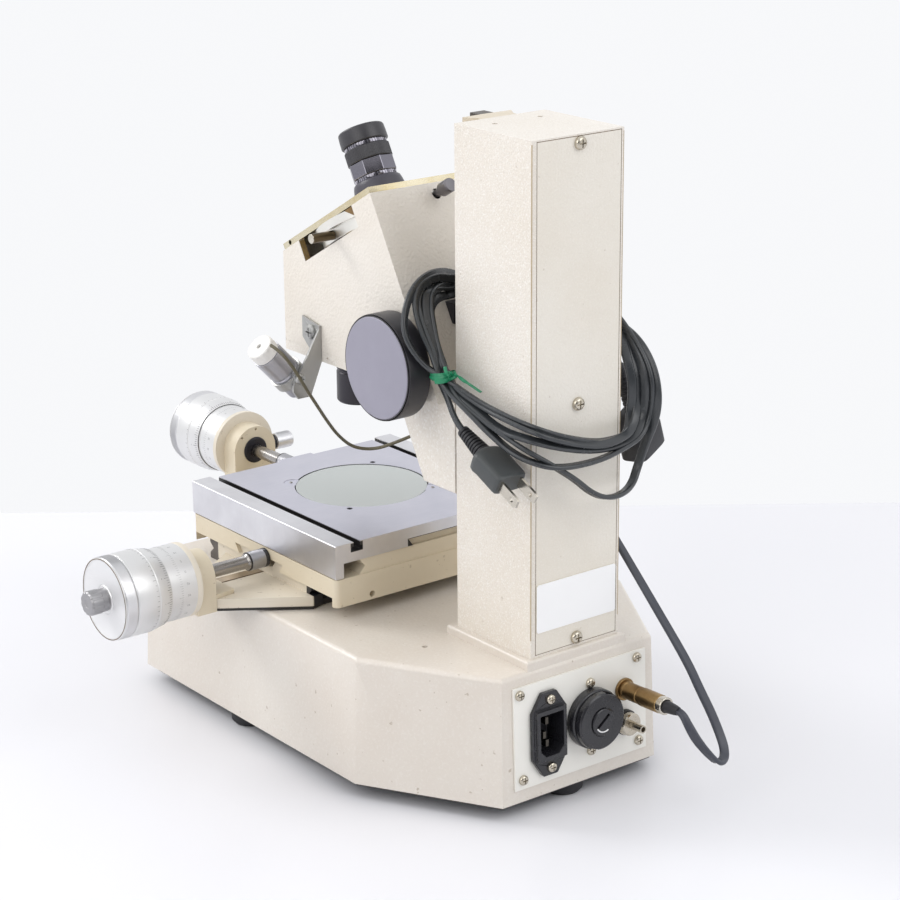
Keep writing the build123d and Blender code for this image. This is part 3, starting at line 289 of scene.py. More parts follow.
M_PANEL = metal("panel_aluminium", srgb(244, 242, 235), 0.46, (50, 50, 50), 0.03, 0.25)
M_PLATE = metal("label_aluminium", srgb(250, 250, 250), 0.38, (200, 30, 30), 0.02, 0.1)
M_BLACK = plastic("black_plastic", srgb(34, 34, 38), 0.26, 900, 0.00001, 0.6)
M_BLACK_M = plastic("black_plastic_matt", srgb(36, 36, 40), 0.5, 900, 0.00003)
M_BLACKMET = metal("black_anodised", srgb(62, 60, 66), 0.34, None, 0.15, 0.6)
M_BLACKMET2 = metal("black_anodised_dark", srgb(44, 43, 49), 0.4, None, 0.15, 0.5)
M_RING = metal("dark_chrome", srgb(150, 148, 156), 0.25, None, 0.15, 0.9)
M_KNOBFACE = plastic("knob_face", srgb(146, 144, 158), 0.46, 500, 0.00003, 0.5, 0.06)
M_KNOBRIM = plastic("knob_rim", srgb(44, 43, 47), 0.42, 700, 0.00002)
M_WHITE = plastic("white_cap", srgb(232, 230, 226), 0.4, 600, 0.00001, 0.5, 0.03)
M_CORD = plastic("cord_black", srgb(50, 53, 56), 0.24, 1200, 0.00001, 0.6)
M_CORD2 = plastic("cord_charcoal", srgb(60, 62, 71), 0.38, 1200, 0.00002, 0.5)
M_OLIVE = plastic("cord_olive", srgb(92, 86, 66), 0.4, 900, 0.00001)
M_TIE = plastic("tie_green", srgb(24, 122, 84), 0.35, 700, 0.00004)
M_IRON = metal("laminated_iron", srgb(90, 88, 86), 0.5, (30, 30, 900), 0.2)
M_INK = plastic("ink_black", srgb(40, 40, 44), 0.6)
M_INKG = plastic("ink_grey", srgb(150, 150, 150), 0.6)
M_INKW = plastic("ink_white", srgb(226, 226, 226), 0.5)
M_GLASS = glass("lens_glass")
M_COATED = glass("coated_glass", (0.85, 0.9, 0.98, 1), 0.02)


def frosted():
    m = Mat("stage_glass", srgb(199, 205, 203), 0.12)
    m.b.inputs["Transmission Weight"].default_value = 0.22
    m.b.inputs["IOR"].default_value = 1.5
    m.roughness(m.noise(40, 3), 0.05, 0.14)
    return m.m


M_SGLASS = frosted()


def at_mask(m, axis, lo, hi):
    """1 where the object coordinate on the axis (0, 1, 2) lies between lo and hi, in metres."""
    sx = m.n.new("ShaderNodeSeparateXYZ")
    m.L(m.obj, sx.inputs[0])
    v = sx.outputs[axis]
    a = m.math("GREATER_THAN", v, lo)
    b = m.math("LESS_THAN", v, hi)
    return m.math("MULTIPLY", a, b)


def table_metal():
    """Ground table: violet-grey top between the T-slots, brighter bars and edges, and painted shade: black in the
    T-slots, in the gap below the top and on the recess walls round the glass and clips.
    """
    m = Mat("ground_table_body", srgb(212, 212, 216), 0.34, 1.0)
    mott = m.noise(35, 4, 0.6)
    side = m.mix(m.ramp(mott, [(0.3, (0, 0, 0)), (0.75, (1, 1, 1))]), srgb(221, 221, 224), srgb(206, 205, 209))
    top = m.mix(m.ramp(mott, [(0.3, (0, 0, 0)), (0.75, (1, 1, 1))]), srgb(207, 206, 216), srgb(197, 197, 208))
    cx, cy, z = -0.0481, 0.185102, 0.1301
    k = m.math("MULTIPLY", at_mask(m, 0, cx - 0.0583, cx + 0.0583), at_mask(m, 2, z, 1.0))
    c = m.mix(k, side, top)
    # painted shade: the T-slot walls go near black
    dark = None
    for sg in (1, -1):
        lo, hi = sorted((cx + sg * 0.0562, cx + sg * 0.0648))
        q = m.math("MULTIPLY", at_mask(m, 0, lo, hi), at_mask(m, 2, 0.1245, z - 0.0003))
        dark = q if dark is None else m.math("MAXIMUM", dark, q)
    # painted shade in the gap below the table's top
    dv = m.math("MULTIPLY", at_mask(m, 0, cx - 0.0242, cx + 0.0242), at_mask(m, 2, 0.1175, 0.1235))
    dark = m.math("MAXIMUM", dark, dv)
    # wall of the recess round the glass, and of the clips' recesses, painted black as shade
    dist = m.n.new("ShaderNodeVectorMath")
    dist.operation = "DISTANCE"
    fl = m.n.new("ShaderNodeVectorMath")
    fl.operation = "MULTIPLY"
    fl.inputs[1].default_value = (1, 1, 0)
    m.L(m.obj, fl.inputs[0])
    m.L(fl.outputs[0], dist.inputs[0])
    g = W(-0.6, -200.0, 0)
    dist.inputs[1].default_value = (g.x, g.y, 0)
    r_ = m.math("MULTIPLY", m.math("LESS_THAN", dist.outputs["Value"], 0.0496), at_mask(m, 2, 0.1200, z - 0.0002))
    dark = m.math("MAXIMUM", dark, r_)
    c = m.mix(dark, c, srgb(34, 32, 32))
    m.base(c)
    mt = m.n.new("ShaderNodeMath")
    mt.operation = "SUBTRACT"
    mt.inputs[0].default_value = 1.0
    m.L(dark, mt.inputs[1])
    m.L(mt.outputs[0], m.b.inputs["Metallic"])
    ln = m.noise(1.0, 3, 0.6, m.stretch(60, 600, 60))
    m.roughness(ln, 0.27, 0.46)
    m.bump(ln, 0.00001, 0.6)
    return m.m


def head_enamel():
    """The head's enamel, with bare brassy metal on the walls of its side slot."""
    m = Mat("head_enamel", CREAM, 0.36, 0.0, 0.5)
    cells = m.voronoi(620, 0.8)
    fine = m.noise(1116, 3, 0.6)
    h = m.math("ADD", m.math("MULTIPLY", cells, 0.9), m.math("MULTIPLY", fine, 0.55))
    mott = m.noise(9, 4, 0.6)
    c = m.mix(m.ramp(mott, [(0.35, (0, 0, 0)), (0.7, (1, 1, 1))]), CREAM, CREAM_D)
    inner = at_mask(m, 0, -0.0481 - 0.0397, -0.0481 + 0.0397)
    vd = m.n.new("ShaderNodeVectorMath")
    vd.operation = "DOT_PRODUCT"
    m.L(m.obj, vd.inputs[0])
    vd.inputs[1].default_value = (0, -ST, CT)
    h0 = W(*head(0, 0, -16.9)).dot(NRM)
    h1 = W(*head(0, 0, -3.6)).dot(NRM)
    band = m.math("MULTIPLY", m.math("GREATER_THAN", vd.outputs["Value"], h0), m.math("LESS_THAN", vd.outputs["Value"], h1))
    vs = m.n.new("ShaderNodeVectorMath")
    vs.operation = "DOT_PRODUCT"
    m.L(m.obj, vs.inputs[0])
    vs.inputs[1].default_value = (0, CT, ST)
    s0 = W(*head(0, 81.9, 0)).dot(UPH)
    s1 = W(*head(0, 20.0, 0)).dot(UPH)
    span = m.math("MULTIPLY", m.math("GREATER_THAN", vs.outputs["Value"], s0), m.math("LESS_THAN", vs.outputs["Value"], s1))
    k = m.math("MULTIPLY", m.math("MULTIPLY", inner, band), span)
    c = m.mix(k, c, m.mix(m.noise(60, 3), srgb(168, 142, 92), srgb(120, 98, 60)))
    m.base(c)
    m.L(m.math("MULTIPLY", k, 0.7), m.b.inputs["Metallic"])
    m.roughness(fine, 0.28, 0.46)
    m.bump(h, 0.0004, 0.8)
    m.b.inputs["Coat Weight"].default_value = 0.25
    m.b.inputs["Coat Roughness"].default_value = 0.18
    return m.m


def rail_metal():
    """Cream rail end with a dark, oily rack."""
    m = Mat("rail_and_rack", srgb(214, 204, 184), 0.4)
    k = at_mask(m, 1, -1.0, W(0, -76.3, 0).y)
    c = m.mix(m.noise(30, 4), srgb(216, 206, 188), srgb(204, 190, 166))
    d = m.mix(m.noise(50, 4), srgb(74, 66, 56), srgb(52, 46, 40))
    m.base(m.mix(k, c, d))
    m.roughness(m.noise(90, 3), 0.3, 0.5)
    m.bump(m.noise(500, 3), 0.00002, 0.5)
    return m.m


def terminal_metal():
    """Bright terminals, a black collar under the ground post, and the blades in the inlet darkened as painted shade of
    its recess.
    """
    m = Mat("terminals", srgb(208, 202, 190), 0.22, 1.0)
    c = m.mix(m.noise(60, 3), srgb(210, 204, 192), srgb(176, 166, 148))
    low = at_mask(m, 2, 0.0, 0.0445)
    left = at_mask(m, 0, -1.0, W(-24, 0, 0).x)
    near = at_mask(m, 1, W(0, 3.0, 0).y, W(0, 4.45 + 4.4, 0).y)
    k = m.math("MULTIPLY", m.math("MULTIPLY", low, left), near)
    # painted shade: the blades deep in the inlet's recess are darkened
    inlet = at_mask(m, 0, W(12, 0, 0).x, 1.0)
    c = m.mix(inlet, c, srgb(84, 80, 74))
    c = m.mix(k, c, srgb(34, 34, 36))
    m.base(c)
    m.L(m.math("SUBTRACT", 1.0, k), m.b.inputs["Metallic"])
    m.roughness(m.noise(120, 4), 0.18, 0.34)
    m.bump(m.noise(700, 3), 0.00001, 0.4)
    return m.m


def slide_enamel():
    """Cream paint on the lower slide, with painted shadow: black at the end behind the arm and under the saddle, a dark
    band along the bottom of the arm above the base, and dark grey at the front end.
    """
    m = Mat("slide_enamel", srgb(224, 216, 200), 0.42)
    c = m.mix(m.ramp(m.noise(14, 5, 0.6), [(0.3, (0, 0, 0)), (0.75, (1, 1, 1))]), srgb(224, 216, 200), srgb(214, 203, 184))
    c = m.mix(m.math("MULTIPLY", m.ramp(m.noise(330, 2, 0.5), [(0.68, (0, 0, 0)), (0.72, (1, 1, 1))]), 0.35), c, srgb(120, 96, 66))
    x, y = W(73.3, -154.0, 0), W(66.2, -248.5, 0)
    near = m.math("MULTIPLY", at_mask(m, 0, -1.0, x.x), at_mask(m, 1, x.y, 1.0))
    far = m.math("MULTIPLY", at_mask(m, 0, y.x, x.x), at_mask(m, 1, -1.0, y.y))
    # painted shadow: black at the end behind the arm and under the saddle
    c = m.mix(near, c, m.mix(m.noise(60, 4), srgb(34, 34, 40), srgb(24, 24, 28)))
    under = at_mask(m, 2, 0.0, 0.0862)
    # painted shadow: dark band along the bottom of the arm, in the gap above the base
    c = m.mix(under, c, m.mix(m.noise(60, 4), srgb(46, 42, 38), srgb(30, 28, 26)))
    # painted shade: dark grey at the front end of the way
    c = m.mix(far, c, m.mix(m.noise(60, 4), srgb(104, 98, 94), srgb(66, 60, 56)))
    m.base(c)
    m.roughness(m.noise(60, 3), 0.32, 0.52)
    m.bump(m.noise(900, 3), 0.00004, 0.5)
    return m.m


M_SLIDE = slide_enamel()
M_WAY = metal("ground_way_brown", srgb(158, 144, 124), 0.3, (40, 900, 900), 0.25)
M_RING = metal("dark_chrome_ring", srgb(132, 130, 139), 0.2, None, 0.12)
M_TERM = terminal_metal()
M_TABLE = table_metal()
M_HEAD = head_enamel()
M_RAIL = rail_metal()
M_DIAL = metal("dial_nickel", srgb(238, 236, 230), 0.3, (60, 60, 900), 0.05)
M_LEVER = metal("lever_dark", srgb(96, 84, 66), 0.3, None, 0.3)
M_KNOBG = metal("knob_grey", srgb(126, 124, 128), 0.35, None, 0.15)
M_BRKT = metal("bracket_grey", srgb(182, 182, 180), 0.36, (300, 300, 300), 0.12)
M_LAMPB = metal("lamp_grey", srgb(178, 178, 184), 0.34, None, 0.1)
M_ENDFACE = metal("drum_end_face", srgb(236, 236, 237), 0.5, None, 0.05, 0.5)
M_RATCHET = metal("ratchet_satin", srgb(172, 171, 173), 0.42, None, 0.12)
M_PLUG = plastic("plug_grey", srgb(66, 69, 70), 0.4, 900, 0.00002, 0.5)
M_ANVIL = metal("anvil_satin", srgb(176, 176, 180), 0.4, None, 0.1)
M_GLOSS = metal("gloss_black_chrome", srgb(144, 142, 150), 0.13, None, 0.1)
M_EYE = plastic("eyepiece_black", srgb(46, 45, 50), 0.38, 900, 0.00002, 0.6, 0.15)
M_EYE2 = plastic("eyepiece_flange", srgb(58, 56, 66), 0.4, 700, 0.00002, 0.6, 0.15)
M_SEAM = plastic("seam_shadow", srgb(96, 76, 52), 0.7, 300, 0.00002, 0.3, 0.3)
M_CORNER_LINE = plastic("corner_line_tan", srgb(176, 160, 134), 0.5, 300, 0.00002, 0.4, 0.2)
M_DARKHOLE = plastic("dark_recess", srgb(24, 23, 22), 0.7, 300, 0.00002, 0.3, 0.2)


def set_mat(o, *mats):
    o.data.materials.clear()
    for m in mats:
        o.data.materials.append(m)


def cad(name, mat, bevel=0.0004, angle=32, flat=False):
    """A CAD node keeps its mesh and gets a material and soft edges."""
    o = nodes[name]
    for k in range(max(1, len(o.material_slots))):
        if o.material_slots:
            o.material_slots[k].material = mat
        else:
            o.data.materials.append(mat)
    w = o.modifiers.new("weld", "WELD")
    w.merge_threshold = 2e-6
    if flat:
        sp = o.modifiers.new("split", "EDGE_SPLIT")
        sp.split_angle = math.radians(30)
        return o
    if bevel:
        b = o.modifiers.new("bevel", "BEVEL")
        b.width = bevel
        b.segments = 2
        b.limit_method = "ANGLE"
        b.angle_limit = math.radians(angle)
        b.use_clamp_overlap = True
        b.harden_normals = False
    wn = o.modifiers.new("wn", "WEIGHTED_NORMAL")
    wn.keep_sharp = False
    wn.weight = 50
    return o


# ---------------------------------------------------------------- mesh helpers
def new_obj(name, bm, mat, body, replaces=(), smooth_deg=35, mats=None):
    bmesh.ops.recalc_face_normals(bm, faces=bm.faces)
    for f in bm.faces:
        f.smooth = True
    lim = math.radians(smooth_deg)
    for e in bm.edges:
        e.smooth = not (len(e.link_faces) == 2 and e.calc_face_angle(0) > lim)
    me = bpy.data.meshes.new(name)
    bm.to_mesh(me)
    bm.free()
    o = bpy.data.objects.new(name, me)
    SC.collection.objects.link(o)
    for m in (mats or [mat]):
        me.materials.append(m)
    if body:
        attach(o, body)
    if replaces:
        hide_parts(*replaces)
    return o


def basis(d):
    d = Vector(d).normalized()
    a = Vector((0, 0, 1)) if abs(d.z) < 0.9 else Vector((1, 0, 0))
    u = a.cross(d).normalized()
    v = d.cross(u)
    return u, v, d


def soften(profile, r, seg=3):
    """Rounds a closed profile's corners (radius, height) by up to r, keeping points on the axis."""
    out = []
    n = len(profile)
    for i in range(n):
        p, a, b = Vector(profile[i]), Vector(profile[i - 1]), Vector(profile[(i + 1) % n])
        if p.x <= 1e-9:
            out.append(tuple(p))
            continue
        da, db = (a - p), (b - p)
        la, lb = da.length, db.length
        if la < 1e-9 or lb < 1e-9:
            continue
        ang = math.degrees(math.acos(max(-1, min(1, da.normalized().dot(db.normalized())))))
        if ang > 150:
            out.append(tuple(p))
            continue
        k = min(r, la * 0.45, lb * 0.45)
        p0, p1 = p + da.normalized() * k, p + db.normalized() * k
        for t in range(seg + 1):
            f = t / seg
            q = p0 * (1 - f) ** 2 + p * 2 * f * (1 - f) + p1 * f * f
            out.append((q.x, q.y))
    return out


def lathe_bm(profile, origin, d, seg=96, bm=None, rfun=None):
    """profile is closed, in mm (radius, height)."""
    bm = bm or bmesh.new()
    u, v, d = basis(d)
    o = W(*origin)
    rings = []
    for r, h in profile:
        if r <= 1e-6:
            rings.append([bm.verts.new(o + d * (h / 1000))])
        else:
            ring = []
            for k in range(seg):
                t = 2 * math.pi * k / seg
                rr = (rfun(r, h, t) if rfun else r) / 1000
                ring.append(bm.verts.new(o + d * (h / 1000) + u * (rr * math.cos(t)) + v * (rr * math.sin(t))))
            rings.append(ring)
    n = len(rings)
    for i in range(n):
        a, b = rings[i], rings[(i + 1) % n]
        if len(a) == 1 and len(b) == 1:
            continue
        for k in range(seg):
            k2 = (k + 1) % seg
            try:
                if len(a) == 1:
                    bm.faces.new((a[0], b[k2], b[k]))
                elif len(b) == 1:
                    bm.faces.new((a[k], a[k2], b[0]))
                else:
                    bm.faces.new((a[k], a[k2], b[k2], b[k]))
            except ValueError:
                pass
    return bm


def lathe(name, profile, origin, d, mat, body, replaces=(), seg=96, r=0.3, rfun=None, smooth_deg=35):
    prof = soften(profile, r) if r else profile
    return new_obj(name, lathe_bm(prof, origin, d, seg, None, rfun), mat, body, replaces, smooth_deg)


def path_of(points, name="path", order=3):
    """Points of the smooth NURBS line through a route."""
    cu = bpy.data.curves.new(name, "CURVE")
    cu.dimensions = "3D"
    sp = cu.splines.new("NURBS")
    sp.points.add(len(points) - 1)
    for k, p in enumerate(points):
        q = W(*p)
        sp.points[k].co = (q.x, q.y, q.z, 1)
    sp.order_u = order
    sp.use_endpoint_u = True
    sp.resolution_u = 10
    cu.resolution_u = 10
    tmp = bpy.data.objects.new(name, cu)
    me = bpy.data.meshes.new_from_object(tmp)
    pts = [v.co.copy() for v in me.vertices]
    bpy.data.objects.remove(tmp)
    bpy.data.meshes.remove(me)
    bpy.data.curves.remove(cu)
    clean = [pts[0]]
    for p in pts[1:]:
        if (p - clean[-1]).length > 2e-4:
            clean.append(p)
    return clean


def frames(pts, first=None):
    """Tangents and carried-along side vectors."""
    t = []
    for i in range(len(pts)):
        a, b = pts[max(0, i - 1)], pts[min(len(pts) - 1, i + 1)]
        t.append((b - a).normalized())
    side = first or Vector((0, 0, 1))
    out = []
    for i in range(len(pts)):
        side = side - t[i] * side.dot(t[i])
        if side.length < 1e-6:
            side = Vector((1, 0, 0)) - t[i] * t[i].x
        side.normalize()
        out.append((t[i], side.copy(), t[i].cross(side)))
    return out


def sweep(name, pts, section, mat, body, replaces=(), first=None, twist=None, scale=None, cap=True, smooth_deg=50):
    """section is a list of (a, b) in metres, along side and across."""
    bm = bmesh.new()
    fr = frames(pts, first)
    rings = []
    acc = 0.0
    total = sum((pts[i + 1] - pts[i]).length for i in range(len(pts) - 1))
    for i, p in enumerate(pts):
        if i:
            acc += (pts[i] - pts[i - 1]).length
        f = acc / total
        t, s, c = fr[i]
        w = twist(f) if twist else 0.0
        s2, c2 = s * math.cos(w) + c * math.sin(w), c * math.cos(w) - s * math.sin(w)
        k = scale(f) if scale else (1, 1)
        rings.append([bm.verts.new(p + s2 * (a * k[0]) + c2 * (b * k[1])) for a, b in section])
    n = len(section)
    for i in range(len(rings) - 1):
        for k in range(n):
            bm.faces.new((rings[i][k], rings[i][(k + 1) % n], rings[i + 1][(k + 1) % n], rings[i + 1][k]))
    if cap:
        bm.faces.new(list(reversed(rings[0])))
        bm.faces.new(rings[-1])
    return new_obj(name, bm, mat, body, replaces, smooth_deg)


def twin(w=0.0055, t=0.0028, n=7):
    """Section of a flat twin flex: two round cores joined by a web."""
    r = t / 2
    c = w / 2 - r
    out = []
    for k in range(n + 1):
        a = -math.pi / 2 + 0.35 + (math.pi - 0.7) * k / n
        out.append((c + r * math.cos(a), r * math.sin(a)))
    out.append((0, r * 0.55))
    for k in range(n + 1):
        a = math.pi / 2 + 0.35 + (math.pi - 0.7) * k / n
        out.append((-c + r * math.cos(a), r * math.sin(a)))
    out.append((0, -r * 0.55))
    return out


def circle(r, n=16):
    return [(r * math.cos(2 * math.pi * k / n), r * math.sin(2 * math.pi * k / n)) for k in range(n)]


def text_mesh(s, size):
    """Outline of a short number, as vertices and faces in metres, centred."""
    cu = bpy.data.curves.new("num", "FONT")
    cu.body = s
    cu.size = size
    cu.align_x = "CENTER"
    cu.align_y = "CENTER"
    cu.resolution_u = 2
    o = bpy.data.objects.new("num", cu)
    me = bpy.data.meshes.new_from_object(o)
    v = [(p.co.x, p.co.y) for p in me.vertices]
    f = [tuple(q.vertices) for q in me.polygons]
    bpy.data.objects.remove(o)
    bpy.data.meshes.remove(me)
    bpy.data.curves.remove(cu)
    return v, f


def drum_marks(name, origin, d, zero, body, items, mat):
    """Marks wrapped on a drum. items: ('line', h0, h1, angle, width) or ('text', h, angle, string, size), in mm and degrees.
    The angle is measured about d from the direction zero."""
    bm = bmesh.new()
    o = W(*origin)
    d = Vector(d).normalized()
    z = Vector(zero).normalized()
    y = d.cross(z)

    def pt(h, a, r):
        a = math.radians(a)
        return o + d * (h / 1000) + (z * math.cos(a) + y * math.sin(a)) * (r / 1000)
    for it in items:
        if it[0] == "line":
            _, h0, h1, a, w, r0, r1 = it
            da = math.degrees(w / 2 / r0)
            f0 = [pt(h0, a - da, r0), pt(h0, a + da, r0), pt(h1, a + da, r1), pt(h1, a - da, r1)]
            up = (z * math.cos(math.radians(a)) + y * math.sin(math.radians(a))) * 0.00006
            lo = [bm.verts.new(p - up) for p in f0]
            hi = [bm.verts.new(p + up * 0.2) for p in f0]
            bm.faces.new(hi)
            bm.faces.new(list(reversed(lo)))
            for k in range(4):
                bm.faces.new((lo[k], lo[(k + 1) % 4], hi[(k + 1) % 4], hi[k]))
        else:
            _, h, a, s, size, r, rot = it
            v, f = text_mesh(s, size / 1000)
            c, sn = math.cos(rot), math.sin(rot)
            vs = []
            for x, yy in v:
                x, yy = x * c - yy * sn, x * sn + yy * c
                vs.append(bm.verts.new(pt(h + yy * 1000, a + math.degrees(x * 1000 / r), r + 0.015)))
            for q in f:
                try:
                    bm.faces.new([vs[k] for k in q])
                except ValueError:
                    pass
    me = bpy.data.meshes.new(name)
    bmesh.ops.recalc_face_normals(bm, faces=bm.faces)
    bm.to_mesh(me)
    bm.free()
    ob = bpy.data.objects.new(name, me)
    SC.collection.objects.link(ob)
    me.materials.append(mat)
    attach(ob, body)
    return ob


# ---------------------------------------------------------------- CAD nodes that keep their shape
cad("base_casting", M_BASE, 0.0006)
cad("base_bottom_plate", M_DARKPLATE, 0.0003)
cad("rubber_feet", M_RUBBER, 0.0004)
cad("column_casting", M_HAM, 0.0004)
cad("column_rear_cover", M_COVER, flat=True)
cad("frame_screws", M_SCREW, 0.00012, 40)
cad("guide_rail", M_RAIL, 0.0002)
cad("rear_panel", M_PANEL, flat=True)
cad("mains_inlet", M_BLACK, 0.0005)
cad("panel_terminals", M_TERM, 0.0002)
cad("fuse_holder_body", M_BLACK, 0.0004)
cad("fuse_cap", M_BLACK, 0.0003)
cad("switch_body", M_BLACK_M, 0.0004)
cad("power_rocker", M_BLACK, 0.0004)
cad("transformer", M_IRON, 0.0004)
cad("contour_lamp_tube", M_ALU, 0.0003)
cad("base_optics", M_GLASS, 0)
cad("x_slide_base", M_SLIDE, 0.0003)
cad("x_micrometer_bracket", M_CREAM, 0.0005)
cad("y_micrometer_bracket", M_CREAM, 0.0005)
cad("saddle", M_CREAM, 0.0004)
cad("stage_table", M_TABLE, 0.0003)
cad("stage_glass", M_SGLASS, 0.0002)
cad("glass_clips", M_TABLE_TOP, 0.0001)
cad("carriage_arm", M_ARM, 0.0004)
cad("head_bottom_plate", M_HAM, 0.0003)
cad("head_housing", M_HEAD, 0.0003)
cad("head_top_plate", M_PASS, 0.0003)
cad("head_optics", M_GLASS, 0)
cad("eyepiece_lenses", M_COATED, 0)
cad("objective_barrel", M_BLACKMET, 0.0002)
cad("pinion_bushes", M_STEEL, 0.0002)
cad("pinion_cover", M_BLACKMET2, 0.0003)
cad("pinion_shaft", M_STEEL, 0.0001)
cad("protractor_dial", M_DIAL, 0.0002)
cad("dial_lever", M_LEVER, 0.0002)
cad("dial_lock_knob", M_KNOBG, 0.0002)
cad("lamp_bracket", M_BRKT, 0.0002)
cad("lamp_barrel", M_LAMPB, 0.0002)
cad("lamp_glass", M_GLASS, 0)
cad("lamp_rear_cap", M_WHITE, 0.0003)
cad("lead_clip", M_BLACK_M, 0.0003)
cad("x_lock_screw", M_ALU, 0.0002)
cad("y_lock_screw", M_ALU, 0.0002)
cad("x_spindle", M_STEEL, 0.0001)
cad("y_spindle", M_STEEL, 0.0001)
cad("x_micrometer_sleeve", M_ALU_X, 0.0002)
cad("y_micrometer_sleeve", M_ALU_Y, 0.0002)
cad("eyepiece_tube", M_BLACKMET, 0.0002)
cad("focus_handwheels", M_KNOBRIM, 0.0008)

# ---------------------------------------------------------------- micrometer drums
STAGE_X = 75.5
XC = (STAGE_X, -192.5, 103.5)
YC = (0, -271.3, 123.7)


def knurl_band(r, h0, h1, origin, d, n, rows, depth, bm=None):
    """A band of crossed knurling as a closed shell."""
    bm = bm or bmesh.new()
    u, v, dd = basis(d)
    o = W(*origin)
    seg = n * 2
    rings = []
    for j in range(rows + 1):
        h = h0 + (h1 - h0) * j / rows
        ring = []
        for k in range(seg):
            t = 2 * math.pi * k / seg
            edge = 0 if j in (0, rows) else 1
            rr = r + (depth if (k + j) % 2 == 0 else 0) * edge
            ring.append(bm.verts.new(o + dd * (h / 1000) + u * (rr / 1000 * math.cos(t)) + v * (rr / 1000 * math.sin(t))))
        rings.append(ring)
    inner = []
    for h in (h1, h0):
        inner.append([bm.verts.new(o + dd * (h / 1000) + (u * math.cos(2 * math.pi * k / seg) + v * math.sin(2 * math.pi * k / seg)) * ((r - 0.6) / 1000)) for k in range(seg)])
    allr = rings + inner
    for j in range(len(allr)):
        a, b = allr[j], allr[(j + 1) % len(allr)]
        for k in range(seg):
            k2 = (k + 1) % seg
            bm.faces.new((a[k], a[k2], b[k2], b[k]))
    return bm


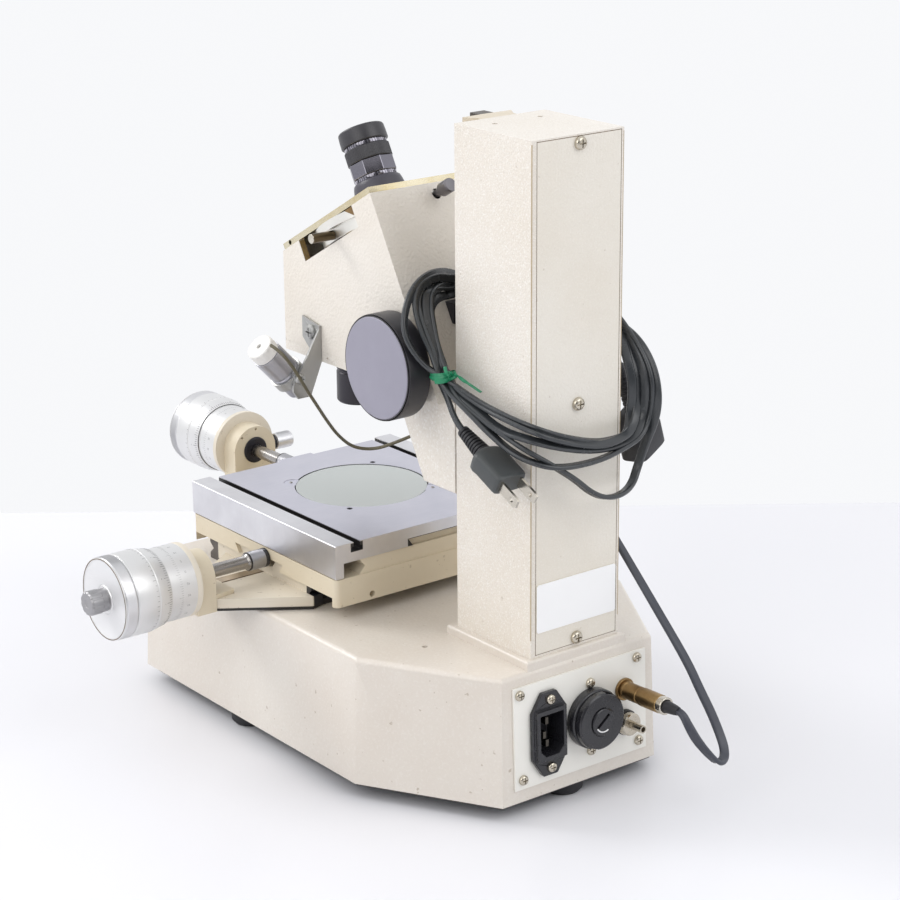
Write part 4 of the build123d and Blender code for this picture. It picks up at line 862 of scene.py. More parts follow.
def drum(prefix, c, d, zero, mat):
    body = prefix + "_thimble"
    # spun drum: bevelled index ring, scale band, step, knurled band, end face
    prof = [(22.15, 78.0), (22.5, 78.0), (24.35, 86.4), (24.35, 86.9), (24.15, 87.0), (24.15, 87.3), (24.4, 87.4), (24.4, 100.7), (24.1, 100.8), (24.1, 101.2), (23.9, 101.2), (23.9, 108.8), (24.2, 108.9), (24.2, 109.3), (23.7, 109.5), (22.6, 109.5), (22.5, 109.2), (8.4, 109.0), (8.0, 109.5), (0, 109.5), (0, 104.0), (22.15, 104.0)]
    o1 = lathe(prefix + "_thimble_drum", prof, c, d, mat, body, (prefix + "_thimble",), 160, 0.08)
    lathe(prefix + "_thimble_face", [(8.6, 108.95), (22.55, 108.95), (22.75, 109.2), (22.55, 109.35), (22.2, 109.22), (8.6, 109.12)], c, d, M_ENDFACE, body, (), 128, 0.03)
    bm = knurl_band(24.05, 101.3, 108.7, c, d, 118, 12, 0.28)
    new_obj(prefix + "_thimble_knurl", bm, M_ALU, body, (), 80)
    kp = [(0, 109.4), (6.7, 109.4), (6.7, 113.0), (7.2, 113.6), (7.2, 120.0), (6.4, 121.0), (2.6, 121.0), (2.2, 120.6), (0, 120.6)]

    def flute(r, h, t):
        if h > 113.2 and r > 6:
            return r - 0.42 * (0.5 + 0.5 * math.cos(10 * t)) ** 3
        return r
    lathe(prefix + "_anvil_ring", [(4.6, 0.4), (5.72, 0.4), (5.72, 2.8), (5.45, 2.9), (4.6, 2.9)], c, d, M_BLACK, prefix + "_spindle", (), 64, 0.08)
    lathe(prefix + "_anvil_shoulder", [(4.9, 12.4), (5.62, 12.4), (5.62, 13.0), (4.9, 13.0)], c, d, M_BLACK, prefix + "_spindle", (), 64, 0.05)
    lathe(prefix + "_ratchet_knob", kp, c, d, M_RATCHET, body, (), 160, 0.25, flute, 50)
    # brown line round the rim of the end face
    lathe(prefix + "_thimble_edge_line", [(23.3, 109.3), (23.75, 109.3), (23.75, 109.62), (23.3, 109.62)], c, d, M_SEAM, body, (), 128, 0.03)
    # marks on the drum
    items = []
    for k in range(100):
        a = 3.6 * k
        items.append(("line", 78.6, 78.6 + (3.4 if k % 10 == 0 else 2.6 if k % 5 == 0 else 1.8), a, 0.14, 22.55 + 0.22 * 0.6, 22.55 + 0.22 * (4.0 if k % 10 == 0 else 3.2 if k % 5 == 0 else 2.4)))
    for k in range(10):
        items.append(("text", 84.0, 36.0 * k, str(k), 1.9, 24.35 - 0.6, 0))
    for k in range(50):
        a = 7.2 * k
        items.append(("line", 87.8, 87.8 + (1.8 if k % 5 == 0 else 1.0), a, 0.14, 24.42, 24.42))
    drum_marks(prefix + "_thimble_marks", c, d, zero, body, items, M_INK)
    sb = "frame" if prefix == "x" else "saddle"
    sl = []
    for k in range(100):
        a = 3.6 * k
        sl.append(("line", 70.2, 70.2 + (3.0 if k % 10 == 0 else 2.2 if k % 5 == 0 else 1.5), a, 0.14, 21.82, 21.82))
    for k in range(20):
        sl.append(("text", 66.6, 18.0 * k + 2.2, str((k * 5) % 100), 2.1, 21.8, math.pi / 2))
    drum_marks(prefix + "_sleeve_marks", c, d, zero, sb, sl, M_INKG)
    # cream flange ring with its set screw, on the block side
    lathe(prefix + "_flange_ring", [(8.45, 57.2), (21.9, 57.2), (21.9, 60.5), (21.5, 60.95), (8.45, 60.95)], c, d, M_CREAM2, sb, (), 128, 0.15)
    u = Vector(zero).normalized()
    w = Vector(d).normalized().cross(u)
    ang = math.radians(64 if prefix == "x" else -64)
    rad = u * math.cos(ang) + w * math.sin(ang)
    cc = Vector(c) + Vector(d) * 59.1 + rad * 20.9
    lathe(prefix + "_flange_set_screw", [(0, -1.5), (1.0, -1.5), (1.0, 0.5), (0.5, 0.5), (0.5, -0.4), (0, -0.4)], tuple(cc), tuple(rad), M_BLACKMET2, sb, (), 24, 0.05)
    # bush face inside the block and rings on the anvil
    lathe(prefix + "_bush_face", [(4.1, 43.3), (7.6, 43.3), (8.5, 43.9), (8.5, 44.45), (4.1, 44.45)], c, d, M_BLACKMET2, sb, (), 64, 0.15)
    sp = prefix + "_spindle"
    lathe(prefix + "_anvil_sleeve", [(4.05, 1.2), (5.6, 1.2), (5.6, 12.3), (4.05, 12.3)], c, d, M_ANVIL, sp, (), 64, 0.25)
    for k, h in enumerate((0.35, 12.4)):
        lathe(prefix + f"_anvil_ring_{k}", [(3.9, h), (5.1, h), (5.1, h + 0.75), (3.9, h + 0.75)], c, d, M_BLACKMET2, sp, (), 48, 0.1)


drum("x", XC, (1, 0, 0), (0, 1, 0.6), M_ALU_X)
drum("y", YC, (0, -1, 0), (0.4, 0, 1), M_ALU_Y)

# knurl of the lock screws
for pre, c, sd, body in (("x", (STAGE_X + 51.0, -192.5, 103.5), (0, -1, 0), "x_lock_screw"), ("y", (0, -271.3 - 51.0, 123.7), (-1, 0, 0), "y_lock_screw")):
    new_obj(pre + "_lock_knurl", knurl_band(5.15, 20.2, 30.0, c, sd, 40, 14, 0.22), M_ALU, body, (), 80)
    lathe(pre + "_lock_collar", [(2.1, 15.7), (4.6, 15.7), (4.8, 16.0), (4.8, 18.6), (2.1, 18.6)], c, sd, M_BLACKMET2, body, (), 48, 0.2)

# ---------------------------------------------------------------- eyepiece
EY = head(0, 45, 0)
lathe("eyepiece_cup", [(7.45, 36.8), (13.5, 36.8), (14.05, 37.3), (14.0, 41.5), (13.75, 45.4), (13.1, 46.25), (9.6, 46.25), (8.8, 45.4), (7.45, 43.0)], EY, NRM, M_EYE, "eyepiece", ("eyepiece_body",), 96, 0.5)


def fine_ribs(r, h, t):
    return r - 0.16 * (1 if math.cos(90 * t) > 0 else 0)


def glints(r, h, t):
    return r - 0.45 * (1 if math.cos(44 * t) > -0.2 else 0)


lathe("eyepiece_neck", [(7.5, 34.6), (12.6, 34.6), (12.7, 34.8), (12.7, 36.7), (7.5, 36.7)], EY, NRM, M_GLOSS, "eyepiece", (), 352, 0.0, glints, 60)
lathe("eyepiece_grip", [(7.5, 26.2), (13.0, 26.2), (13.45, 26.7), (13.45, 34.0), (13.0, 34.5), (7.5, 34.5)], EY, NRM, M_EYE, "eyepiece", (), 720, 0.15, lambda r, h, t: fine_ribs(r, h, t) if r > 13.3 else r, 60)
# ring with eight flats, one of them turned to the rear
e_u, e_v, e_d = basis(NRM)
rear = Vector((0.615, 0.788, 0.05))
t_rear = math.atan2(rear.dot(e_v), rear.dot(e_u))
turn = 1 if (e_v * math.cos(t_rear) - e_u * math.sin(t_rear)).dot(Vector((-0.788, 0.615, 0))) > 0 else -1
t_flat = t_rear + turn * math.radians(8)


def flats(r, h, t):
    if r < 12:
        return r
    a = (t - t_flat + math.pi / 8) % (math.pi / 4) - math.pi / 8
    return r * 0.962 / math.cos(a)


lathe("eyepiece_clamp_ring", [(10.62, 17.2), (13.0, 17.2), (13.3, 17.5), (13.3, 25.7), (13.0, 26.0), (10.62, 26.0)], EY, NRM, M_RING, "carriage", ("eyepiece_tube",), 192, 0.1, flats, 12)
lathe("eyepiece_lower_neck", [(10.62, 14.9), (12.5, 14.9), (12.6, 15.1), (12.6, 17.1), (10.62, 17.1)], EY, NRM, M_GLOSS, "carriage", (), 352, 0.0, glints, 60)
lathe("eyepiece_flange", [(10.6, 0.0), (16.6, 0.0), (16.6, 0.8), (16.3, 3.0), (15.7, 6.5), (15.1, 9.5), (14.6, 12.0), (14.0, 14.0), (13.2, 14.8), (10.6, 14.8)], EY, NRM, M_EYE2, "carriage", (), 96, 0.4)

# knob on the rear slope, with its thinner neck
lathe("dial_lock_knob_turned", [(0, -0.8), (2.1, -0.8), (2.1, 6.2), (3.7, 6.2), (4.1, 6.7), (4.1, 14.6), (3.7, 15.0), (0, 15.0)], head(-4, 0, -10.2), UPH, M_KNOBG, "dial_lock_knob", ("dial_lock_knob",), 64, 0.25)
lathe("dial_lever_tip", [(0, 55.8), (2.1, 55.8), (2.75, 56.0), (2.7, 56.3), (2.0, 56.5), (0, 56.5)], head(0, 45, -12.6), (1, 0, 0), M_NICKEL, "dial", (), 48, 0.1)
# bare metal cheek at the upper end of the head's slot
bm = bmesh.new()
tri = [(28.9, -4.0), (20.7, -4.0), (20.7, -9.4)]
lo = [bm.verts.new(W(*head(39.75, a, b))) for a, b in tri]
hi = [bm.verts.new(W(*head(39.95, a, b))) for a, b in tri]
bm.faces.new(hi)
bm.faces.new(list(reversed(lo)))
for k in range(3):
    bm.faces.new((lo[k], lo[(k + 1) % 3], hi[(k + 1) % 3], hi[k]))
new_obj("head_slot_cheek", bm, M_BRASS_T, "carriage", ())

# ---------------------------------------------------------------- focus handwheels: violet face, black rim
for s in (1, -1):
    lathe("handwheel_face_" + ("r" if s > 0 else "l"), [(0, 60.6), (28.7, 60.6), (28.7, 60.95), (28.2, 61.25), (0, 61.25)], (0, -98, 238), (s, 0, 0), M_KNOBFACE, "pinion", (), 128, 0.1)


# ---------------------------------------------------------------- stage table: a flat-plate helper (not called), and the screws of the table and glass clips
def slab(name, poly, z0, z1, holes, mat, body, slot, replaces=(), bevel=0.0002):
    """Flat plate from an outline with round holes, as a closed mesh."""
    from mathutils.geometry import tessellate_polygon
    loops = [[(x, y) for x, y in poly]] + holes
    vec = [[Vector((x, y, 0)) for x, y in lp] for lp in loops]
    tris = tessellate_polygon(vec)
    flat = [p for lp in loops for p in lp]
    bm = bmesh.new()
    top = [bm.verts.new(W(x, y, z1)) for x, y in flat]
    bot = [bm.verts.new(W(x, y, z0)) for x, y in flat]
    for t in tris:
        try:
            bm.faces.new([top[k] for k in t])
            bm.faces.new([bot[k] for k in reversed(t)])
        except ValueError:
            pass
    k0 = 0
    for lp in loops:
        n = len(lp)
        for k in range(n):
            a, b = k0 + k, k0 + (k + 1) % n
            bm.faces.new((top[a], top[b], bot[b], bot[a]))
        k0 += n
    o = new_obj(name, bm, mat, body, replaces, 35)
    return o


def ring_pts(cx, cy, r, n=96, a0=0.0, a1=2 * math.pi, close=False):
    m = n if not close else n + 1
    return [(cx + r * math.cos(a0 + (a1 - a0) * k / n), cy + r * math.sin(a0 + (a1 - a0) * k / n)) for k in range(m)]


D45 = math.sqrt(0.5)
for k, (hx, hy) in enumerate(((-0.6 + 44.0 * D45, -200.0 + 44.0 * D45), (-0.6 - 44.0 * D45, -200.0 - 44.0 * D45))):
    lathe(f"table_screw_{k}", [(0, -3.5), (1.65, -3.5), (1.65, -0.6), (1.3, -0.4), (0.9, -0.4), (0.9, -1.6), (0, -1.6)], (hx, hy, 130.3), (0, 0, 1), M_BLACKMET2, "table", (), 32, 0.1)
for s in (1, -1):
    lathe(f"clip_screw_{s + 1}", [(0, -1.0), (1.2, -1.0), (1.2, 0.1), (0.9, 0.35), (0.4, 0.35), (0.4, 0.05), (0, 0.05)], (-0.6 + s * 43.6 * D45, -200.0 - s * 43.6 * D45, 130.2), (0, 0, 1), M_STEEL, "table", (), 32, 0.05)

# ---------------------------------------------------------------- cords
SL = (-36.0, -96.0, 193.1)
LEAD = [(-32.0, 49.68, 58.23), (-32.0, 53.68, 58.37), (-32.5, 58.2, 52.3), (-34.4, 62.8, 44.8), (-38.5, 67.5, 37.3), (-44.5, 70.0, 30.3), (-52.0, 67.0, 29.8), (-56.2, 62.5, 33.5), (-57.5, 57.5, 39.5), (-56.5, 51.0, 51.0), (-54.0, 44.0, 63.3), (-51.0, 37.0, 78.0), (-46.0, 17.0, 104.0), (-43.5, -9.0, 131.5), (-43.0, -38.0, 158.0), (-41.5, -60.0, 179.0), (-38.5, -74.0, 189.5), (-36.6, -84.7, 192.3), (-36.2, -95.7, 193.0)]
lp_ = path_of(LEAD, "lamp_lead_route")


def lead_twist(f):
    return 0.4 + 1.6 * min(1, f / 0.16) + 1.2 * f


lead = sweep("lamp_lead_flex_cord", lp_, twin(0.0055, 0.0030), M_CORD2, None, ("lamp_lead_flex",), first=Vector((1, 0, 0)), twist=lead_twist, scale=lambda f: (0.75 + 0.25 * min(1, f / 0.06), 1.0))
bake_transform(lead)

THIN = [(-36.0, -108.0, 193.1), (-36.0, -114.0, 193.1), (-31.8, -126.0, 188.5), (-21.5, -140.0, 180.5), (-9.5, -152.5, 173.5), (-0.5, -163.5, 166.5), (7.0, -175.0, 160.6), (17.5, -182.5, 162.0), (29.5, -181.0, 172.5), (40.0, -177.0, 184.8), (50.0, -172.5, 197.3), (58.6, -169.5, 208.6), (65.6, -167.8, 219.2), (71.5, -168.5, 228.5), (74.5, -173.5, 234.2), (74.8, -180.9, 235.6)]
tp_ = path_of(THIN, "thin_route")
thin = sweep("lamp_lead_thin_cord", tp_, circle(0.001, 12), M_OLIVE, "carriage", ("lamp_lead_thin",))

# ---------------------------------------------------------------- mains lead: turns round the column, tied at the right
TIE_C = Vector((44.7, -58.4, 239.5))
ARCS = [
    [(8.6, -97.0, 284.2), (24.4, -91.0, 287.8), (38.6, -85.0, 287.3), (50.0, -80.0, 282.3), (57.2, -76.0, 273.7), (60.3, -73.0, 264.3), (58.0, -69.0, 254.1), (51.7, -65.0, 244.3)],
    [(9.5, -96.0, 277.7), (21.0, -91.0, 279.4), (31.9, -84.0, 279.1), (38.0, -78.0, 274.0), (39.9, -73.0, 264.1), (41.1, -68.0, 254.1), (43.2, -61.0, 245.0)],
    [(9.5, -96.0, 271.9), (22.5, -90.0, 274.1), (32.0, -84.0, 273.5), (38.7, -78.0, 270.2), (41.4, -72.0, 261.8), (41.9, -67.0, 251.7), (43.3, -60.0, 244.5)],
    [(11.0, -94.0, 281.2), (23.8, -90.0, 285.7), (39.4, -84.0, 284.9), (48.1, -79.0, 279.4), (49.9, -75.0, 271.0), (49.1, -70.0, 260.7), (46.9, -65.0, 251.3)],
    [(10.3, -95.0, 275.7), (26.0, -89.0, 280.6), (36.1, -84.0, 279.8), (41.3, -79.0, 274.4), (43.9, -74.0, 266.3), (44.4, -69.0, 257.3), (44.2, -65.0, 248.0)],
    [(9.0, -95.5, 280.0), (22.0, -92.0, 282.5), (37.0, -86.0, 282.0), (45.5, -80.0, 276.5), (47.2, -75.0, 268.5), (46.8, -69.5, 258.8), (45.6, -64.5, 249.3)],
]
SWEEPS = [
    [(42.5, -51.4, 235.5), (41.0, -31.7, 230.3), (39.5, -8.1, 226.7), (33.9, 10.0, 223.4), (14.8, 12.0, 215.6), (-2.8, 12.0, 209.8), (-16.6, 10.0, 207.6), (-32.0, 6.0, 206.5), (-38.5, 0.4, 215.0), (-38.5, 2.5, 232.7), (-38.5, -3.5, 248.3)],
    [(43.5, -50.2, 233.8), (42.0, -30.4, 228.0), (41.0, -6.2, 225.2), (37.2, 14.0, 222.3), (17.4, 15.0, 214.1), (-3.7, 15.0, 208.1), (-18.3, 13.0, 208.0), (-34.0, 7.0, 208.5), (-42.0, 2.2, 219.0), (-42.0, 2.0, 237.5), (-42.0, -6.4, 249.8)],
    [(44.0, -52.2, 232.8), (44.0, -32.2, 227.4), (43.0, -12.2, 219.7), (40.7, 10.0, 219.2), (23.5, 14.0, 212.8), (3.3, 15.0, 207.3), (-17.8, 12.0, 204.4), (-35.0, 9.0, 204.8), (-44.5, 4.0, 214.0), (-44.5, 6.5, 228.0), (-44.5, 4.0, 240.5), (-44.5, -5.4, 251.9)],
    [(46.0, -52.2, 232.6), (47.0, -32.7, 225.6), (46.0, -16.9, 217.5), (43.0, 0.4, 209.0), (33.7, 14.0, 203.9), (19.0, 17.0, 201.5), (-2.1, 17.0, 201.1), (-21.3, 13.0, 202.3), (-38.0, 9.0, 204.5), (-46.5, 6.5, 214.0), (-46.5, 8.8, 229.0), (-46.5, 5.5, 242.0), (-46.5, -5.3, 253.9)],
    [(45.5, -43.9, 229.3), (44.5, -19.4, 221.0), (42.0, 3.3, 214.0), (29.5, 13.0, 204.4), (13.7, 15.0, 193.2), (3.9, 16.0, 184.0), (-6.8, 16.0, 178.3), (-20.0, 14.0, 176.5), (-34.0, 7.5, 178.0), (-41.5, 3.5, 186.0), (-44.5, 6.0, 199.0), (-48.0, 10.5, 214.0), (-49.0, 11.0, 228.0), (-49.0, 6.0, 243.0), (-49.0, -6.7, 255.5)],
]
# the six strands lie side by side where the tie holds them
TIE_SPOTS = [(2.6, 3.4), (-2.6, 3.2), (-2.6, -2.9), (2.6, 0.2), (-2.6, 0.1), (2.6, -3.0)]
TV = Vector((0.0, -0.962, -0.273))


def tie_point(k):
    a, b = TIE_SPOTS[k]
    return tuple(TIE_C + Vector((a, 0, 0)) + TV * (-b * 0.8))


def hidden(k):
    """The way forward past the far side and across the front, out of sight."""
    dz, dx = (k - 2.0) * 2.6, (k % 2) * 3.2
    return [(-45.0 - dx, -22.0, 263.0 + dz), (-44.5 - dx, -40.0, 270.0 + dz), (-43.8 - dx, -61.0, 276.0 + dz), (-35.0 - dx * 0.4, -80.0, 279.0 + dz), (-16.0, -93.0 + (k % 2) * 1.2, 277.5 + dz * 1.2)]


MAINS = [(-46.5, -19.5, 238.0), (-45.6, -21.6, 244.0), (-45.0, -25.0, 250.0)] + hidden(0)[1:] + ARCS[0] + [tie_point(0)]
for k in range(5):
    MAINS += SWEEPS[k] + hidden(k + 1 if k < 4 else 2) + ARCS[k + 1] + [tie_point(k + 1)]
MAINS += [(45.0, -55.3, 229.5), (45.5, -47.8, 217.2), (46.0, -40.2, 213.5)]
mp_ = path_of(MAINS, "mains_route")
mains = sweep("mains_lead_cord", mp_, twin(0.0052, 0.0028), M_CORD, "carriage", ("mains_lead_coil",), first=Vector((0, 0, 1)), twist=lambda f: 0.5 * math.sin(f * 43) + 0.3 * math.sin(f * 17 + 1))

# plug: ribbed relief, moulded body, blades
PD = Vector((0, 0.9, -0.436)).normalized()
P0 = Vector((46.0, -40.1, 213.2))


prof = [(0, 0.0), (3.3, 0.0)]
h = 1.0
while h < 18:
    rr = 3.4 + 1.8 * (h / 20)
    prof += [(rr, h), (rr, h + 1.25), (rr - 0.75, h + 1.35), (rr - 0.75, h + 2.15)]
    h += 2.2
prof += [(5.2, h), (5.2, 21.5), (0, 21.5)]
lathe("plug_relief", prof, tuple(P0), tuple(PD), M_BLACK_M, "carriage", (), 40, 0.2, None, 40)


def loft(name, rows, mat, body, replaces=(), seg=48, smooth_deg=40):
    """Rows of (centre mm, side vector, up vector, half width, half height, exponent): a superellipse loft."""
    bm = bmesh.new()
    rings = []
    for c, a, b, w, h, n in rows:
        ring = []
        for k in range(seg):
            t = 2 * math.pi * k / seg
            ca, sa = math.cos(t), math.sin(t)
            x = w * math.copysign(abs(ca) ** (2 / n), ca)
            y = h * math.copysign(abs(sa) ** (2 / n), sa)
            p = Vector(c) + Vector(a) * x + Vector(b) * y
            ring.append(bm.verts.new(W(*p)))
        rings.append(ring)
    for j in range(len(rings) - 1):
        for k in range(seg):
            bm.faces.new((rings[j][k], rings[j][(k + 1) % seg], rings[j + 1][(k + 1) % seg], rings[j + 1][k]))
    bm.faces.new(list(reversed(rings[0])))
    bm.faces.new(rings[-1])
    return new_obj(name, bm, mat, body, replaces, smooth_deg)


PX = Vector((1, 0, 0))
PY = PX.cross(PD).normalized()
P1 = P0 + PD * 20.0
rows = []
for hh, w, t, n in ((-0.4, 5.0, 4.6, 2.4), (0.2, 6.0, 5.4, 2.8), (1.2, 8.6, 5.8, 3.5), (3.0, 10.3, 5.9, 5), (5.5, 10.6, 5.95, 6), (8.5, 10.0, 5.9, 6), (22.5, 9.9, 5.9, 6), (24.3, 9.6, 5.8, 6), (25.0, 9.0, 5.3, 6)):
    rows.append((P1 + PD * hh, PX, PY, w, t, n))
loft("mains_plug_body", rows, M_PLUG, "carriage", ("mains_plug",))
P2 = P1 + PD * 24.6
for k, off in enumerate((-6.35, 6.35)):
    c = P2 + PX * off
    bm = bmesh.new()
    outl = [(-3.15, 0), (3.15, 0), (3.15, 13.6), (2.2, 15.6), (-2.2, 15.6), (-3.15, 13.6)]
    hole = ring_pts(0, 11.0, 1.5, 16)
    from mathutils.geometry import tessellate_polygon
    loops = [outl, hole]
    tris = tessellate_polygon([[Vector((x, y, 0)) for x, y in lp] for lp in loops])
    flat = [p for lp in loops for p in lp]
    A = [bm.verts.new(W(*(c + PY * x + PD * y + PX * 0.75))) for x, y in flat]
    B = [bm.verts.new(W(*(c + PY * x + PD * y - PX * 0.75))) for x, y in flat]
    for t in tris:
        bm.faces.new([A[q] for q in t])
        bm.faces.new([B[q] for q in reversed(t)])
    k0 = 0
    for lp in loops:
        for q in range(len(lp)):
            a, b = k0 + q, k0 + (q + 1) % len(lp)
            bm.faces.new((A[a], A[b], B[b], B[a]))
        k0 += len(lp)
    new_obj(f"plug_blade_{k}", bm, M_NICKEL, "carriage", (), 30)

# inlet connector behind the bundle
CC = Vector((-62.0, -14.0, 186.5))
CU = Vector((0.29, 0, 0.957)).normalized()
CW = Vector((-0.958, -0.287, 0))
CW = (CW - CU * CW.dot(CU)).normalized()
CH = CU.cross(CW).normalized()
rows = []
for hh, w, t, n in ((0.0, 12.4, 7.6, 6), (0.8, 12.9, 8.1, 6), (14.0, 13.0, 8.2, 6), (15.0, 12.4, 7.7, 6), (16.0, 12.6, 7.9, 6), (24.0, 12.6, 7.9, 6), (26.5, 11.0, 7.2, 4), (27.8, 8.0, 6.2, 3)):
    rows.append((CC + CU * hh, CW, CH, w, t, n))
loft("inlet_connector_body", rows, M_BLACK_M, "carriage", ("inlet_connector",))
RC = CC + CU * 27.0
RT = Vector((-46.5, -19.5, 238.0))
rd = RT - RC
prof = [(0, 0.0), (5.4, 0.0)]
h = 0.8
while h < rd.length - 4:
    rr = 5.3 - 1.9 * (h / rd.length)
    prof += [(rr, h), (rr, h + 1.6), (rr - 0.6, h + 1.7), (rr - 0.6, h + 2.6)]
    h += 2.8
prof += [(3.2, h), (3.1, rd.length), (0, rd.length)]
lathe("inlet_connector_relief", prof, tuple(RC), tuple(rd.normalized()), M_BLACK_M, "carriage", (), 40, 0.2)

# twist tie: two flat wraps, a twist and two tails
TP = TIE_C
TD = Vector((-0.2, 3.4, -12.0)).normalized()
ta, tb_, _ = basis(TD)
wrap = []
for k in range(30):
    a = 2 * math.pi * k / 13
    r = 6.9 + 0.3 * math.sin(3 * a) + 0.02 * k
    wrap.append(tuple(TP + ta * (r * math.cos(a)) + tb_ * (r * math.sin(a)) + TD * (-1.6 + k * 0.12 + 0.6 * math.sin(2 * a + 0.5))))
flat_sec = [(-0.0013, -0.0003), (-0.0005, -0.0002), (-0.0003, -0.00045), (0.0003, -0.00045), (0.0005, -0.0002), (0.0013, -0.0003), (0.0013, 0.0001), (0.0005, 0.0002), (0, 0.0004), (-0.0005, 0.0002), (-0.0013, 0.0001)]
sweep("twist_tie_wrap", path_of(wrap, "wrap"), flat_sec, M_TIE, "carriage", ("twist_tie",), first=TD, twist=lambda f: 0.35 * math.sin(40 * f))
knot = [(46.5, -51.5, 240.2), (44.5, -50.6, 242.4), (46.0, -49.6, 243.2), (47.8, -50.6, 241.6), (45.6, -50.2, 240.4), (43.6, -49.2, 242.0), (44.2, -48.0, 243.0)]
tail_a = [(44.2, -49.0, 242.6), (43.9, -46.0, 241.9), (44.6, -41.0, 240.8), (44.2, -35.0, 239.4), (44.0, -27.0, 237.5)]
tail_b = [(46.2, -50.4, 241.4), (48.6, -49.6, 243.0), (49.4, -51.0, 245.4), (48.2, -52.6, 246.6)]
thin_sec = [(x * 0.7, y) for x, y in flat_sec]
for k, (tl, sc) in enumerate(((knot, flat_sec), (tail_a, thin_sec), (tail_b, thin_sec))):
    sweep(f"twist_tie_tail_{k}", path_of(tl, "tl"), sc, M_TIE, "carriage", (), first=Vector((1, 0, 0)), twist=lambda f: 5.5 * max(0, 0.5 - f))

# lamp connector: fluted brass body with a nickel end and a black relief
LXP = (-32.0, 4.45, 56.6)
PN = Vector((0, math.cos(math.radians(2.06)), math.sin(math.radians(2.06))))


def flutes(r, h, t):
    if 18.2 < h < 32.0 and r > 5:
        return r - 0.22 * (0.5 + 0.5 * math.cos(24 * t))
    return r


lathe("lamp_plug_shell", [(2.2, 2.9), (5.3, 2.9), (5.3, 5.0), (5.0, 5.2), (5.0, 15.2), (4.7, 15.5), (4.7, 16.6), (5.2, 16.9), (5.3, 18.0), (5.3, 32.2), (5.05, 32.5), (2.2, 32.5)], LXP, PN, M_BRASS_T, "frame", ("lamp_connector",), 144, 0.12, flutes)
lathe("lamp_plug_end", [(2.2, 32.4), (5.1, 32.4), (5.1, 36.2), (4.8, 36.6), (3.9, 36.6), (3.6, 36.2), (2.2, 36.2)], LXP, PN, M_NICKEL, "frame", (), 64, 0.15)
lathe("lamp_plug_relief", [(0, 34.0), (3.5, 34.0), (3.5, 37.5), (3.3, 39.5), (2.9, 43.5), (2.4, 46.2), (0, 46.4)], LXP, PN, M_BLACK_M, "frame", (), 40, 0.3)

# panel details: black collar and nickel nut of the ground post come from the CAD; tint the collar
GP = (-32.3, 4.45, 36.6)
lathe("ground_collar", [(2.4, 1.25), (7.35, 1.25), (7.35, 3.9), (7.1, 4.2), (2.4, 4.2)], GP, PN, M_BLACK_M, "frame", (), 64, 0.2)
lathe("lamp_socket_flange", [(4.9, 1.25), (6.5, 1.25), (6.5, 2.6), (6.2, 2.9), (4.9, 2.9)], LXP, PN, M_BRASS_T, "frame", (), 64, 0.15)

# blank label with three fine ruled lines
for k, z in enumerate((127.0, 121.0, 110.5)):
    bm = bmesh.new()
    x0, x1 = -26.5, 25.0
    vs = [W(x0, 0.5, z), W(x1, 0.5, z), W(x1, 0.5, z + 0.22), W(x0, 0.5, z + 0.22)]
    lo = [bm.verts.new(v + Vector((0, -0.00005, 0))) for v in vs]
    hi = [bm.verts.new(v + Vector((0, 0.00003, 0))) for v in vs]
    bm.faces.new(hi)
    bm.faces.new(list(reversed(lo)))
    for q in range(4):
        bm.faces.new((lo[q], lo[(q + 1) % 4], hi[(q + 1) % 4], hi[q]))
    new_obj(f"label_rule_{k}", bm, M_INKG, "frame", ())
bm = bmesh.new()
ret = bmesh.ops.create_cube(bm, size=1.0)
for v in ret["verts"]:
    v.co = W((v.co.x + 0.5) * 56.6 - 29.0, 0.4 + (v.co.y + 0.5) * 0.18, 103.3 + (v.co.z + 0.5) * 28.0)
bmesh.ops.bevel(bm, geom=[e for e in bm.edges if abs((e.verts[0].co - e.verts[1].co).y) > 1e-5], offset=0.0008, segments=3, affect="EDGES")
new_obj("label_face", bm, M_PLATE, "frame", ())

# seams round the rear cover, as thin recessed dark strips that paint the shadow in the gaps
def strip(name, p, q, mat, body):
    """A thin bar between two corners given in mm, with softened long edges."""
    bm = bmesh.new()
    bmesh.ops.create_cube(bm, size=1.0)
    for v in bm.verts:
        v.co = W(*[p[i] + (v.co[i] + 0.5) * (q[i] - p[i]) for i in range(3)])
    e = max(range(3), key=lambda i: abs(q[i] - p[i]))
    bmesh.ops.bevel(bm, geom=[g for g in bm.edges if abs((g.verts[0].co - g.verts[1].co)[e]) > 1e-4], offset=0.00005, segments=2, affect="EDGES")
    new_obj(name, bm, mat, body, ())


# tan lines along the column's two rear corners
for k, (x0, x1, y0, y1) in enumerate(((31.0, 31.55, -0.5, 0.05), (-31.55, -31.0, -0.5, 0.05))):
    strip(f"column_corner_line_{k}", (x0, y0, 100.0), (x1, y1, 373.0), M_CORNER_LINE, "frame")
strip("x_way_strip", (73.4, -206.2, 91.7), (119.4, -198.9, 92.22), M_WAY, "frame")
# painted shadow: dark line in the gap beside the way
strip("x_way_line", (73.4, -198.9, 91.7), (119.4, -198.3, 92.3), M_SEAM, "frame")
# painted shadow in the gaps round the rear cover
for k, (x0, x1, z0, z1) in enumerate(((-29.95, -29.5, 90.7, 374.1), (27.8, 28.25, 90.7, 374.1), (-29.95, 28.25, 373.7, 374.15), (-29.95, 28.25, 90.5, 90.9))):
    strip(f"cover_seam_{k}", (x0, -1.2, z0), (x1, 0.03, z1), M_SEAM, "frame")

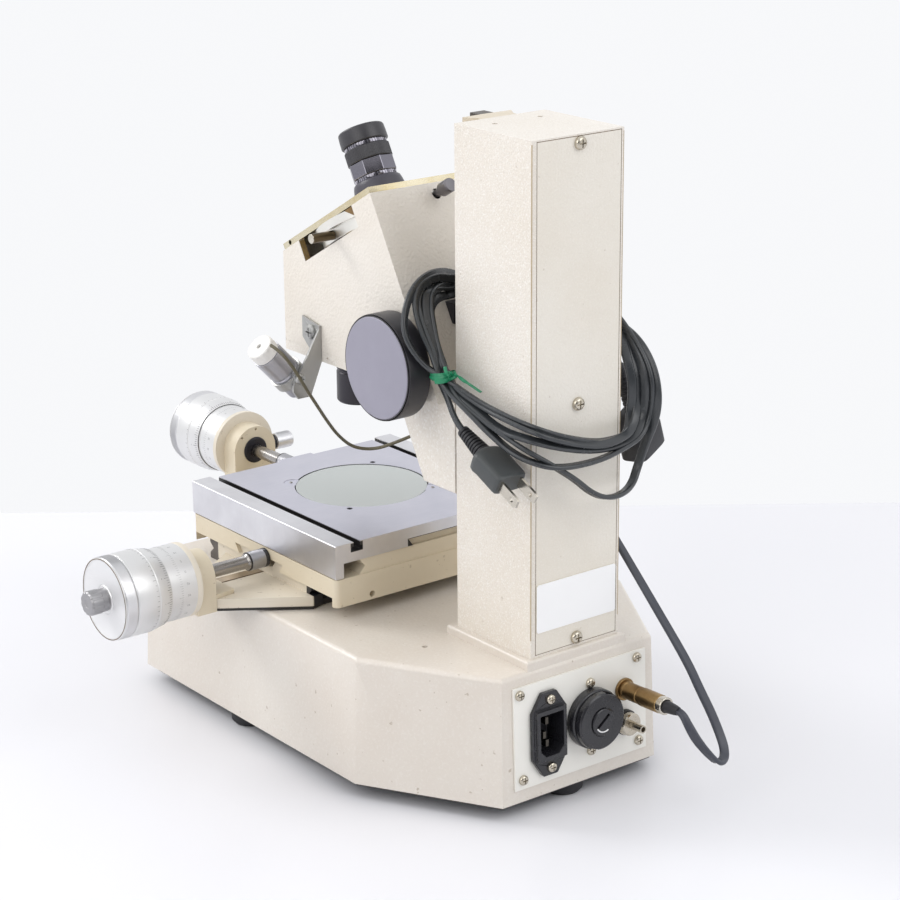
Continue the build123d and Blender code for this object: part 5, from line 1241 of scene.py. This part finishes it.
# fuse cap slot mark
FCP = Vector((-7.2, 4.45, 46.6)) + PN * 13.05
fu, fv = Vector((-1, 0, 0)), Vector((0, -0.036, 0.9994))
arc = []
for k in range(9):
    a = math.radians(-150 + 90 * k / 8)
    arc.append(tuple(FCP + fu * (5.6 * math.cos(a)) + fv * (5.6 * math.sin(a))))
sweep("fuse_cap_mark", path_of(arc, "arc"), circle(0.0004, 8), M_INKW, "fuse_cap", (), first=PN)

# ---------------------------------------------------------------- camera
F_PX = 2516.93
yaw, pitch, roll = 0.658, 0.314, -0.008
sy, cy, sp, cp_ = math.sin(yaw), math.cos(yaw), math.sin(pitch), math.cos(pitch)
fwd = Vector((-sy * cp_, -cy * cp_, -sp))
right = Vector((-cy, sy, 0.0))
up = right.cross(fwd)
r2 = right * math.cos(roll) + up * math.sin(roll)
u2 = right * (-math.sin(roll)) + up * math.cos(roll)
cam_d = bpy.data.cameras.new("camera")
cam = bpy.data.objects.new("camera", cam_d)
SC.collection.objects.link(cam)
SC.camera = cam
cam_d.sensor_fit = "HORIZONTAL"
cam_d.sensor_width = 36.0
cam_d.lens = F_PX * 36.0 / 900.0
cam_d.clip_start = 0.05
cam_d.clip_end = 50.0
cpos = W(842.219, 978.595, 622.207)
m = Matrix.Identity(4)
for k in range(3):
    m[k][0], m[k][1], m[k][2], m[k][3] = r2[k], u2[k], -fwd[k], cpos[k]
cam.matrix_world = m


def ray_floor(u, v, z=0.0):
    """Point on the level z (metres) seen at pixel u, v."""
    dvec = fwd * F_PX + r2 * (u - 450) - u2 * (v - 450)
    t = (z - cpos.z) / dvec.z
    return cpos + dvec * t


# ---------------------------------------------------------------- floor, backdrop, light
pl, pr = ray_floor(-500, 519.0), ray_floor(1400, 496.5)
ndir = Vector((-(pr - pl).y, (pr - pl).x, 0)).normalized()
if ndir.dot(fwd) > 0:
    ndir = -ndir
wide = (pr - pl).normalized()
bm = bmesh.new()
a, b = pl - wide * 3, pr + wide * 3
c, d = b + ndir * 6, a + ndir * 6
vs = [bm.verts.new((p.x, p.y, 0.0)) for p in (a, b, c, d)]
bm.faces.new(vs)
low = [bm.verts.new((p.x, p.y, -0.03)) for p in (a, b)]
bm.faces.new((vs[0], vs[1], low[1], low[0]))
me = bpy.data.meshes.new("floor")
bm.to_mesh(me)
bm.free()
floor = bpy.data.objects.new("floor", me)
SC.collection.objects.link(floor)
fm = Mat("floor_white", srgb(230, 230, 234), 0.35, 0.0, 0.35)
fm.roughness(fm.noise(3, 3), 0.3, 0.42)
me.materials.append(fm.m)

wd = bpy.data.worlds.new("studio")
SC.world = wd
wd.use_nodes = True
wn_ = wd.node_tree
bg = wn_.nodes["Background"]
tc = wn_.nodes.new("ShaderNodeTexCoord")
vn = wn_.nodes.new("ShaderNodeVectorMath")
vn.operation = "NORMALIZE"
wn_.links.new(tc.outputs["Generated"], vn.inputs[0])
vd_ = wn_.nodes.new("ShaderNodeVectorMath")
vd_.operation = "DOT_PRODUCT"
wn_.links.new(vn.outputs[0], vd_.inputs[0])
vd_.inputs[1].default_value = (0.615, 0.788, 0.05)
mr = wn_.nodes.new("ShaderNodeMapRange")
mr.interpolation_type = "SMOOTHSTEP"
mr.inputs["From Min"].default_value = 0.5
mr.inputs["From Max"].default_value = 0.86
mr.inputs["To Min"].default_value = 1.0
mr.inputs["To Max"].default_value = 0.12
wn_.links.new(vd_.outputs["Value"], mr.inputs["Value"])
mx_ = wn_.nodes.new("ShaderNodeMix")
mx_.data_type = "RGBA"
mx_.inputs[6].default_value = (0.0, 0.0, 0.0, 1)
mx_.inputs[7].default_value = (0.965, 0.972, 0.99, 1)
wn_.links.new(mr.outputs["Result"], mx_.inputs[0])
wn_.links.new(mx_.outputs[2], bg.inputs["Color"])
bg.inputs["Strength"].default_value = 0.97


def area(name, loc, target, size, power, color=(1, 1, 1), size_y=None):
    ld = bpy.data.lights.new(name, "AREA")
    ld.energy = power
    ld.color = color
    ld.size = size
    if size_y:
        ld.shape = "RECTANGLE"
        ld.size_y = size_y
    ob = bpy.data.objects.new(name, ld)
    SC.collection.objects.link(ob)
    loc = Vector(loc)
    ob.location = loc
    ob.rotation_euler = (Vector(target) - loc).to_track_quat("-Z", "Y").to_euler()
    return ob


area("key", (1.0, -1.5, 1.5), (0, 0, 0.15), 0.8, 16, (1.0, 0.995, 0.985))
area("fill", (1.8, 0.8, 1.2), (0, 0, 0.15), 1.6, 16, (1.0, 0.99, 0.98))
area("back_fill", (-0.6, 1.8, 1.6), (0, 0, 0.15), 1.6, 13)

SC.view_settings.view_transform = "Standard"
SC.view_settings.look = "None"
SC.view_settings.exposure = 0.0
